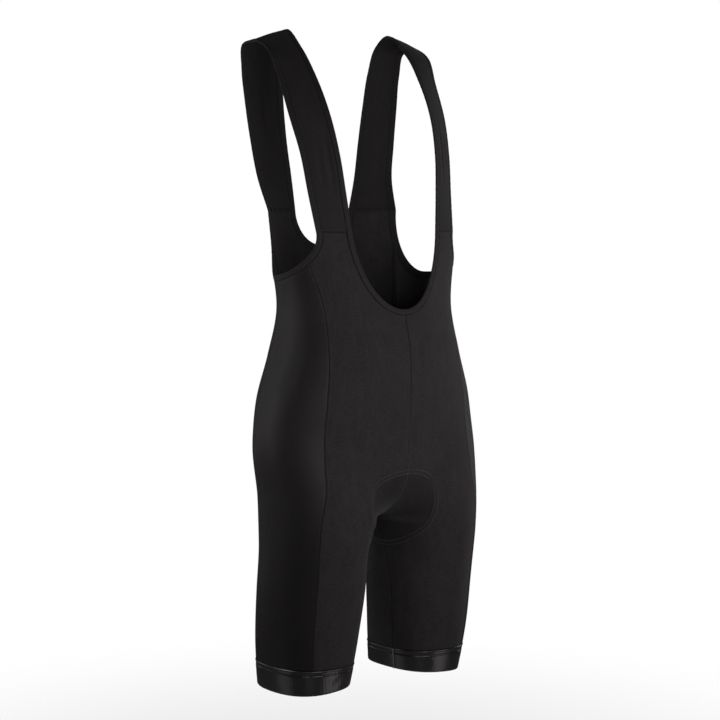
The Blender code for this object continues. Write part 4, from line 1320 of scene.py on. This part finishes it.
def pad_line(beside=0.0, height=0.0):
    """The whole loop. Its left half comes from two stretches, the right half mirrors it."""
    halves = [skin_line(*places, beside=beside, height=height) for places in PAD_PLACES]
    left = [np.concatenate((halves[0][part][:-1], halves[1][part])) for part in (0, 1)]
    for end in (0, -1):
        left[0][end, 0] = 0.0
    return tuple(np.concatenate((part, part[-2:0:-1] * MIRROR)) for part in left)


PAD_RIBBON = sweep_band("pad_seam_ribbon", pad_line, np.array(RIBBON) / 1000, RIBBON_KNIT, closed=True,
                        shade=RIBBON_PAINTED_SHADE)
print(f"pad outline: {lengths_along(pad_line()[0])[-1]:.3f} m")

# %% [markdown]
# ## Overlocked seams inside
# Inside, every seam shows as a narrow strip of overlock thread over the two raw edges. The strips
# also close the tiny gaps between panels, as thread does. One profile is swept along all of them,
# with a fine ripple from the thread. At the back of the straps the strip is drawn up and crinkles.

# %% Overlock strips
STRIP_STEP, STRAP_STRIP_STEP = 0.0030, 0.0015
SEAM_LINE_PLACES, STRAP_SEAM_PLACES = 300, 40     # before the lines are cut into even steps
STRIP = (                 # across and inwards from the outer face, in millimetres
    (-2.6, -1.35), (-2.4, -1.75), (-1.5, -2.15), (0.0, -2.30), (1.5, -2.15), (2.4, -1.75), (2.6, -1.35),
    (0.5, -1.30), (0.0, -1.10), (-0.5, -1.30),
)


def level_line(seam, top, bottom):
    """Places down a seam, or down a line of one turn."""
    levels = np.linspace(top, bottom, SEAM_LINE_PLACES)
    turns = seam(levels) if callable(seam) else np.full_like(levels, seam)
    return even_places(turns, levels, STRIP_STEP)


def seam_top(edge, seam):
    """Where a panel seam ends at the binding."""
    return inset(edge, meets(edge, seam), PANEL_INSET)[1]


def strap_seam_line(level, neck, arm):
    turns = between_edges(level, neck, arm, STRAP_SEAM_PLACES)
    return even_places(turns, np.full_like(turns, level), STRAP_STRIP_STEP)


SEAM_LINES = {
    "side_front": level_line(side_front, seam_top(front_armhole, side_front), BAND_TOP),
    "side_back": level_line(side_back, seam_top(back_armhole, side_back), BAND_TOP),
    "inseam": level_line(inseam, RISE_END, BAND_TOP),
    "centre_front": level_line(0.0, inset(front_neck, 0.0, PANEL_INSET)[1], RISE_END),
    "centre_back": level_line(pi, inset(back_neck, 0.0, PANEL_INSET)[1], RISE_END),
    "strap_front": strap_seam_line(*STRAP_ENDS[0][1:]),
    "strap_back": strap_seam_line(*STRAP_ENDS[1][1:]),
}
CRINKLE = {"strap_back": 0.0005}


def on_seam(seam):
    return lambda beside=0.0, height=0.0: skin_line(*SEAM_LINES[seam], beside=beside, height=height)


OVERLOCKS = []
for seam in SEAM_LINES:
    for side, mirrored in HALVES[:1] if seam.startswith("centre") else HALVES:
        OVERLOCKS.append(sweep_band(f"{seam}_overlock_{side}", on_seam(seam), np.array(STRIP) / 1000,
                                    OVERLOCK, mirrored=mirrored, waves=CRINKLE.get(seam, 0.0)))

# %% Strips behind the folded edges
EDGE_STRIP = (            # the same behind a folded edge, across being towards the opening
    (-2.4, -1.32), (-2.2, -1.70), (-1.0, -1.95), (0.2, -1.95), (0.9, -1.80), (1.1, -1.45), (0.3, -1.25),
    (-0.15, -0.95), (-0.6, -1.25),
)


def edge_strip(name, lines, mirrored=False):
    open_points, _, seam_points, normals, run = evenly(lines)
    across, height = (np.array(EDGE_STRIP) / 1000).T[:, None, :, None]
    towards = unit(open_points - seam_points)[:, None]
    grid = seam_points[:, None] + towards * across + normals[:, None] * height
    uv = sweep_uv(across[0, :, 0], run)
    return add_tube(name, grid, uv, OVERLOCK, np.zeros(grid.shape[:2]), mirrored)


OVERLOCKS.append(edge_strip("neck_overlock", NECK_LINE))
for side, mirrored in HALVES:
    OVERLOCKS.append(edge_strip(f"armhole_overlock_{side}", ARMHOLE_LINE, mirrored))
print("overlock strips:", len(OVERLOCKS))

# %% [markdown]
# ## Stitches
# A row of stitches is one short loop of thread, repeated. Geometry Nodes does that: a line becomes a
# curve, is cut into even lengths, and carries a small rounded body at every point. The skin's
# direction is stored on the line, so that each stitch lies flat. The result is made into a plain
# mesh, because the finished part travels without modifiers.

# %% Stitch rows as a node tree
STITCH_BODY = {"Segments": 6, "Rings": 4, "Radius": 0.5}
STITCH_SIZES = {"Min": 0.88, "Max": 1.08}           # hardly two stitches of a row are the same


def stitch_tree():
    tree = bpy.data.node_groups.new("stitch_row", "GeometryNodeTree")
    face = tree.interface
    face.new_socket("Geometry", in_out="INPUT", socket_type="NodeSocketGeometry")
    for label, value in (("Pitch", 0.0028), ("Length", 0.0022), ("Width", 0.0005), ("Height", 0.0004)):
        face.new_socket(label, in_out="INPUT", socket_type="NodeSocketFloat").default_value = value
    face.new_socket("Seed", in_out="INPUT", socket_type="NodeSocketInt").default_value = 4
    face.new_socket("Thread", in_out="INPUT", socket_type="NodeSocketMaterial")
    face.new_socket("Geometry", in_out="OUTPUT", socket_type="NodeSocketGeometry")

    given = add_node(tree, "NodeGroupInput").outputs
    curve = add_node(tree, "GeometryNodeMeshToCurve", Mesh=given["Geometry"])
    even = add_node(tree, "GeometryNodeResampleCurve", Curve=curve.outputs["Curve"])
    even.mode = "LENGTH"
    set_inputs(tree, even, Length=given["Pitch"])

    body = add_node(tree, "GeometryNodeMeshUVSphere", **STITCH_BODY)
    size = add_node(tree, "ShaderNodeCombineXYZ", X=given["Width"], Y=given["Height"], Z=given["Length"])
    loop = add_node(tree, "GeometryNodeTransform", Geometry=body.outputs["Mesh"], Scale=size.outputs[0])

    tangent = add_node(tree, "GeometryNodeInputTangent")
    facing = add_node(tree, "GeometryNodeInputNamedAttribute", Name="facing")
    facing.data_type = "FLOAT_VECTOR"
    turned = add_node(tree, "FunctionNodeAxesToRotation")
    turned.primary_axis, turned.secondary_axis = "Z", "Y"
    set_inputs(tree, turned, Primary_Axis=tangent.outputs[0], Secondary_Axis=facing.outputs["Attribute"])
    uneven = add_node(tree, "FunctionNodeRandomValue", Seed=given["Seed"])
    uneven.data_type = "FLOAT"
    for label, value in STITCH_SIZES.items():
        next(s for s in uneven.inputs if s.name == label and s.enabled).default_value = value
    scale = next(s for s in uneven.outputs if s.enabled)

    made = add_node(tree, "GeometryNodeInstanceOnPoints", Points=even.outputs["Curve"],
                    Instance=loop.outputs["Geometry"], Rotation=turned.outputs["Rotation"], Scale=scale)
    for kind in ("RealizeInstances", "SetShadeSmooth", "SetMaterial"):
        made = add_node(tree, f"GeometryNode{kind}", Geometry=made.outputs[0])
    set_inputs(tree, made, Material=given["Thread"])
    add_node(tree, "NodeGroupOutput", Geometry=made.outputs[0])
    return tree


STITCH_ROW = stitch_tree()


# %% Rows along lines
def stitch_lines(name, lines, **values):
    """Rows of stitches along lines of (points, normals, closed), as one plain mesh."""
    points, facing, edges = [], [], []
    for line, normals, closed in lines:
        start, count = sum(len(part) for part in points), len(line)
        edges += [(start + i, start + (i + 1) % count) for i in range(count if closed else count - 1)]
        points.append(line)
        facing.append(normals)
    mesh = bpy.data.meshes.new(f"{name}_line")
    mesh.from_pydata(np.concatenate(points).tolist(), edges, [])
    attribute = mesh.attributes.new("facing", "FLOAT_VECTOR", "POINT")
    attribute.data.foreach_set("vector", np.concatenate(facing).reshape(-1).astype(np.float32))
    row = add_object(f"{name}_line", mesh)
    nodes = row.modifiers.new("stitches", "NODES")
    nodes.node_group = STITCH_ROW
    for item in STITCH_ROW.interface.items_tree:
        if item.in_out == "INPUT" and item.name in values:
            nodes[item.identifier] = values[item.name]
    ready = row.evaluated_get(bpy.context.evaluated_depsgraph_get())
    stitches = add_object(name, bpy.data.meshes.new_from_object(ready))
    bpy.data.objects.remove(row)
    print(f"{name}: {len(stitches.data.polygons)} faces")
    return stitches


# %% Where the rows run
def both_sides(line, closed=False):
    points, normals = line
    return [(points, normals, closed), (points * MIRROR, normals * MIRROR, closed)]


def fold_row(lines, share, height):
    """A row on a folded edge, a share of its width from the seam."""
    open_points, open_normals, seam_points, seam_normals, _ = evenly(lines)
    normals = unit(seam_normals + (open_normals - seam_normals) * share)
    return seam_points + (open_points - seam_points) * share + normals * height, normals


def band_row(down, height, places=200):
    """Round a leg band, so far under its top edge."""
    turns = np.linspace(0, pi, places, endpoint=False)
    points, normals = on_skin(turns, np.full_like(turns, BAND_TOP - SEAM_GAP / 2 - down))
    return points + normals * height, normals


def band_seam_row(short=0.0012, height=0.0012, places=60):
    """Down the band's own seam on the inner leg, from its roll to the hem."""
    levels = np.linspace(BAND_TOP - short, hem(inseam(BAND_TOP)) + short, places)
    points, normals = on_skin(inseam(levels), levels)
    return points + normals * height, normals


RIBBON_LINE = {"beside": 0.00245, "height": 0.00072}     # on top of the ribbon's two raised lines
EDGE_LINE = {"share": 0.17, "height": 0.00042}
BESIDE_SEAMS = (          # how far a row lies from its seam
    ("side_front", -0.0030), ("side_back", 0.0030), ("inseam", 0.0030), ("strap_front", 0.0024),
    ("strap_back", -0.0024),
)
CENTRE_ROW_TOP = -0.542   # one more row runs down the centre, over the front of the pad

PAD_ROWS = [(*pad_line(side * RIBBON_LINE["beside"], RIBBON_LINE["height"]), True) for side in (-1, 1)]
SEAM_ROWS = []
for seam, beside in BESIDE_SEAMS:
    SEAM_ROWS += both_sides(on_seam(seam)(beside=beside, height=0.0001))
CENTRE_ROW = [(*skin_line(*level_line(0.0, CENTRE_ROW_TOP, RISE_END), height=0.00025), False)]
EDGE_ROWS = [(*fold_row(NECK_LINE, **EDGE_LINE), True)]
EDGE_ROWS += both_sides(fold_row(ARMHOLE_LINE, **EDGE_LINE), closed=True)

STITCHES = [
    stitch_lines("pad_stitches", PAD_ROWS, Thread=THREAD, Pitch=0.0028, Length=0.0024, Width=0.0007),
    stitch_lines("seam_stitches", SEAM_ROWS, Thread=THREAD, Pitch=0.0030, Length=0.0022),
    stitch_lines("edge_stitches", EDGE_ROWS, Thread=THREAD, Pitch=0.0032, Length=0.0022),
    stitch_lines("band_stitches", both_sides(band_row(BAND_GROOVE, 0.00005), closed=True),
                 Thread=DARK_THREAD, Pitch=0.0030, Length=0.0024),
    # the pale thread paints the highlight along the band's seam ridge
    stitch_lines("band_seam_stitches", both_sides(band_seam_row()), Thread=PALE_PAINTED_HIGHLIGHT_THREAD, Pitch=0.0011,
                 Length=0.0010, Width=0.0032, Height=0.0007),
    # the grey thread paints the highlight along the centre line over the pad
    stitch_lines("centre_stitches", CENTRE_ROW, Thread=GREY_PAINTED_HIGHLIGHT_THREAD, Pitch=0.0014, Length=0.0012,
                 Width=0.0016),
]

# %% [markdown]
# ## The camera
# A long lens from some way off keeps near and far parts at nearly the same scale. The camera and
# the lamps are placed by one small function, from angles round the garment and up.

# %% Camera
VIEW = {"azimuth": radians(-38), "elevation": radians(4.5), "distance": 2.6, "lens": 97.5}
VIEW_TARGET = Vector((-0.0066, -0.0528, -0.4267))


def direction(azimuth, elevation):
    """Towards the viewer, from angles round the garment and up."""
    return Vector((sin(azimuth) * cos(elevation), -cos(azimuth) * cos(elevation), sin(elevation)))


def place_at(thing, target, back, away):
    """Stands a camera or lamp off its target, looking at it."""
    thing.location = target + back * away
    thing.rotation_euler = (-back).to_track_quat("-Z", "Y").to_euler()


def add_camera():
    data = bpy.data.cameras.new("camera")
    data.lens, data.sensor_width = VIEW["lens"], 36
    data.clip_start, data.clip_end = 0.05, 50
    camera = add_object("camera", data)
    place_at(camera, VIEW_TARGET, direction(VIEW["azimuth"], VIEW["elevation"]), VIEW["distance"])
    bpy.context.scene.camera = camera


add_camera()

# %% [markdown]
# ## Soft boxes all round
# Black cloth shows only what it reflects, so its form comes from where the light doesn't reach.
# Tall soft boxes stand behind and to the sides and draw the edges. Small ones near the chest light
# the front and leave the ends of the straps and legs in the dark, because their light falls off
# quickly. The sky is white for the camera alone, so that it doesn't wash out the black.

# %% Lamps
LAMPS = table(            # from: degrees round the garment and up; metres; watts
    "name from away level size power",
    ("back", (-165, 5), 2.6, -0.42, (0.8, 1.8), 2.9),
    ("behind_left", (-140, 5), 2.6, -0.42, (0.8, 1.8), 1.4),
    ("front_left", (-48, 5), 2.6, -0.42, (0.8, 1.8), 3.6),
    ("right", (90, 5), 2.6, -0.42, (0.8, 1.8), 6.7),
    ("high_left", (-130, 40), 2.6, -0.42, (1.2, 1.2), 6.3),
    ("low_left", (-120, -30), 2.6, -0.60, (1.2, 1.2), 1.2),
    ("low_front", (-40, -30), 2.6, -0.60, (1.2, 1.2), 0.5),
    ("low_right", (30, -30), 2.6, -0.60, (1.2, 1.2), 3.2),
    ("rear_right", (140, 12), 2.6, -0.42, (1.2, 1.8), 8.0),
    ("near_chest", (-15, 0), 0.9, -0.25, (0.5, 0.5), 2.5),
    ("near_hip", (-15, 0), 0.9, -0.55, (0.5, 0.5), 0.73),
    ("near_right", (30, 0), 0.9, -0.38, (0.5, 0.5), 1.75),
    ("near_left", (-111, 0), 0.9, -0.32, (0.5, 0.5), 1.6),
)
LAMP_COLOUR = (1.0, 0.955, 0.975)


def add_lamp(lamp):
    data = bpy.data.lights.new(lamp["name"], "AREA")
    data.shape = "RECTANGLE"
    data.size, data.size_y = lamp["size"]
    data.energy, data.color = lamp["power"], LAMP_COLOUR
    light = add_object(lamp["name"], data)
    back = direction(*(radians(angle) for angle in lamp["from"]))
    place_at(light, Vector((0, MIDDLE_Y, lamp["level"])), back, lamp["away"])
    light.visible_camera = False


for lamp in LAMPS:
    add_lamp(lamp)

# %% Sky and view
def add_world():
    """White for the camera, dark for everything else."""
    world = bpy.data.worlds.new("studio")
    world.use_nodes = True
    tree = world.node_tree
    rays = add_node(tree, "ShaderNodeLightPath").outputs
    set_inputs(tree, tree.nodes["Background"], Color=(1, 1, 1, 1), Strength=rays["Is Camera Ray"])
    bpy.context.scene.world = world


add_world()
bpy.context.scene.view_settings.view_transform = "Standard"

# %% [markdown]
# ## The floor
# The garment stands free in front of a pale sweep. A disc catches a little light under it, and fades
# out towards its rim, so that no horizon shows.

# %% Floor
FLOOR_LEVEL, FLOOR_RADIUS = -1.02, 1.6
FLOOR_FADE = {"From_Min": 0.1, "From_Max": 1.0, "To_Min": 0.25, "To_Max": 0.0}    # metres out, and how solid


def floor_paint():
    paint = bpy.data.materials.new("pale_floor")
    paint.use_nodes = True
    tree = paint.node_tree
    place = add_node(tree, "ShaderNodeTexCoord").outputs["Object"]
    away = add_node(tree, "ShaderNodeVectorMath")
    away.operation = "LENGTH"
    tree.links.new(place, away.inputs[0])
    fade = add_node(tree, "ShaderNodeMapRange")
    fade.interpolation_type = "SMOOTHSTEP"
    set_inputs(tree, fade, Value=away.outputs["Value"], **FLOOR_FADE)
    set_inputs(tree, tree.nodes["Principled BSDF"], Base_Color=(0.9, 0.9, 0.9, 1), Roughness=0.9,
               Alpha=fade.outputs["Result"])
    return paint


bpy.ops.mesh.primitive_circle_add(vertices=64, radius=FLOOR_RADIUS, fill_type="NGON",
                                  location=(0, 0, FLOOR_LEVEL))
floor = bpy.context.object
floor.name = "floor"
floor.data.materials.append(floor_paint())

# %% [markdown]
# ## Hand-over
# Every piece rides on the part's one body and stands for its solid. The panels and straps print the
# size they were cut to. The panels, straps and bands are stretched by wearing, and the narrow
# edges are strips folded round the cloth. The pad is foam.

# %% Hand-over
PAIRS = (("front", FRONTS, "knit_front"), ("side", SIDES, "knit_side"), ("back", BACKS, "knit_front"),
         ("strap", STRAPS, "knit_strap"), ("armhole_binding", ARMHOLE_EDGES, "binding"),
         ("leg_band", LEG_BANDS, "leg_band"))


def hand_over(piece, node):
    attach(piece, "root")
    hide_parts(node)


for node, pieces, slot in PAIRS:
    for piece, side in zip(pieces, ("left", "right")):
        hand_over(piece, f"{node}_{side}")
hand_over(NECK_EDGE, "neck_binding")
hand_over(SEAT_PAD, "seat_pad")
for trim in (PAD_RIBBON, *OVERLOCKS, *STITCHES):
    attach(trim, "root")
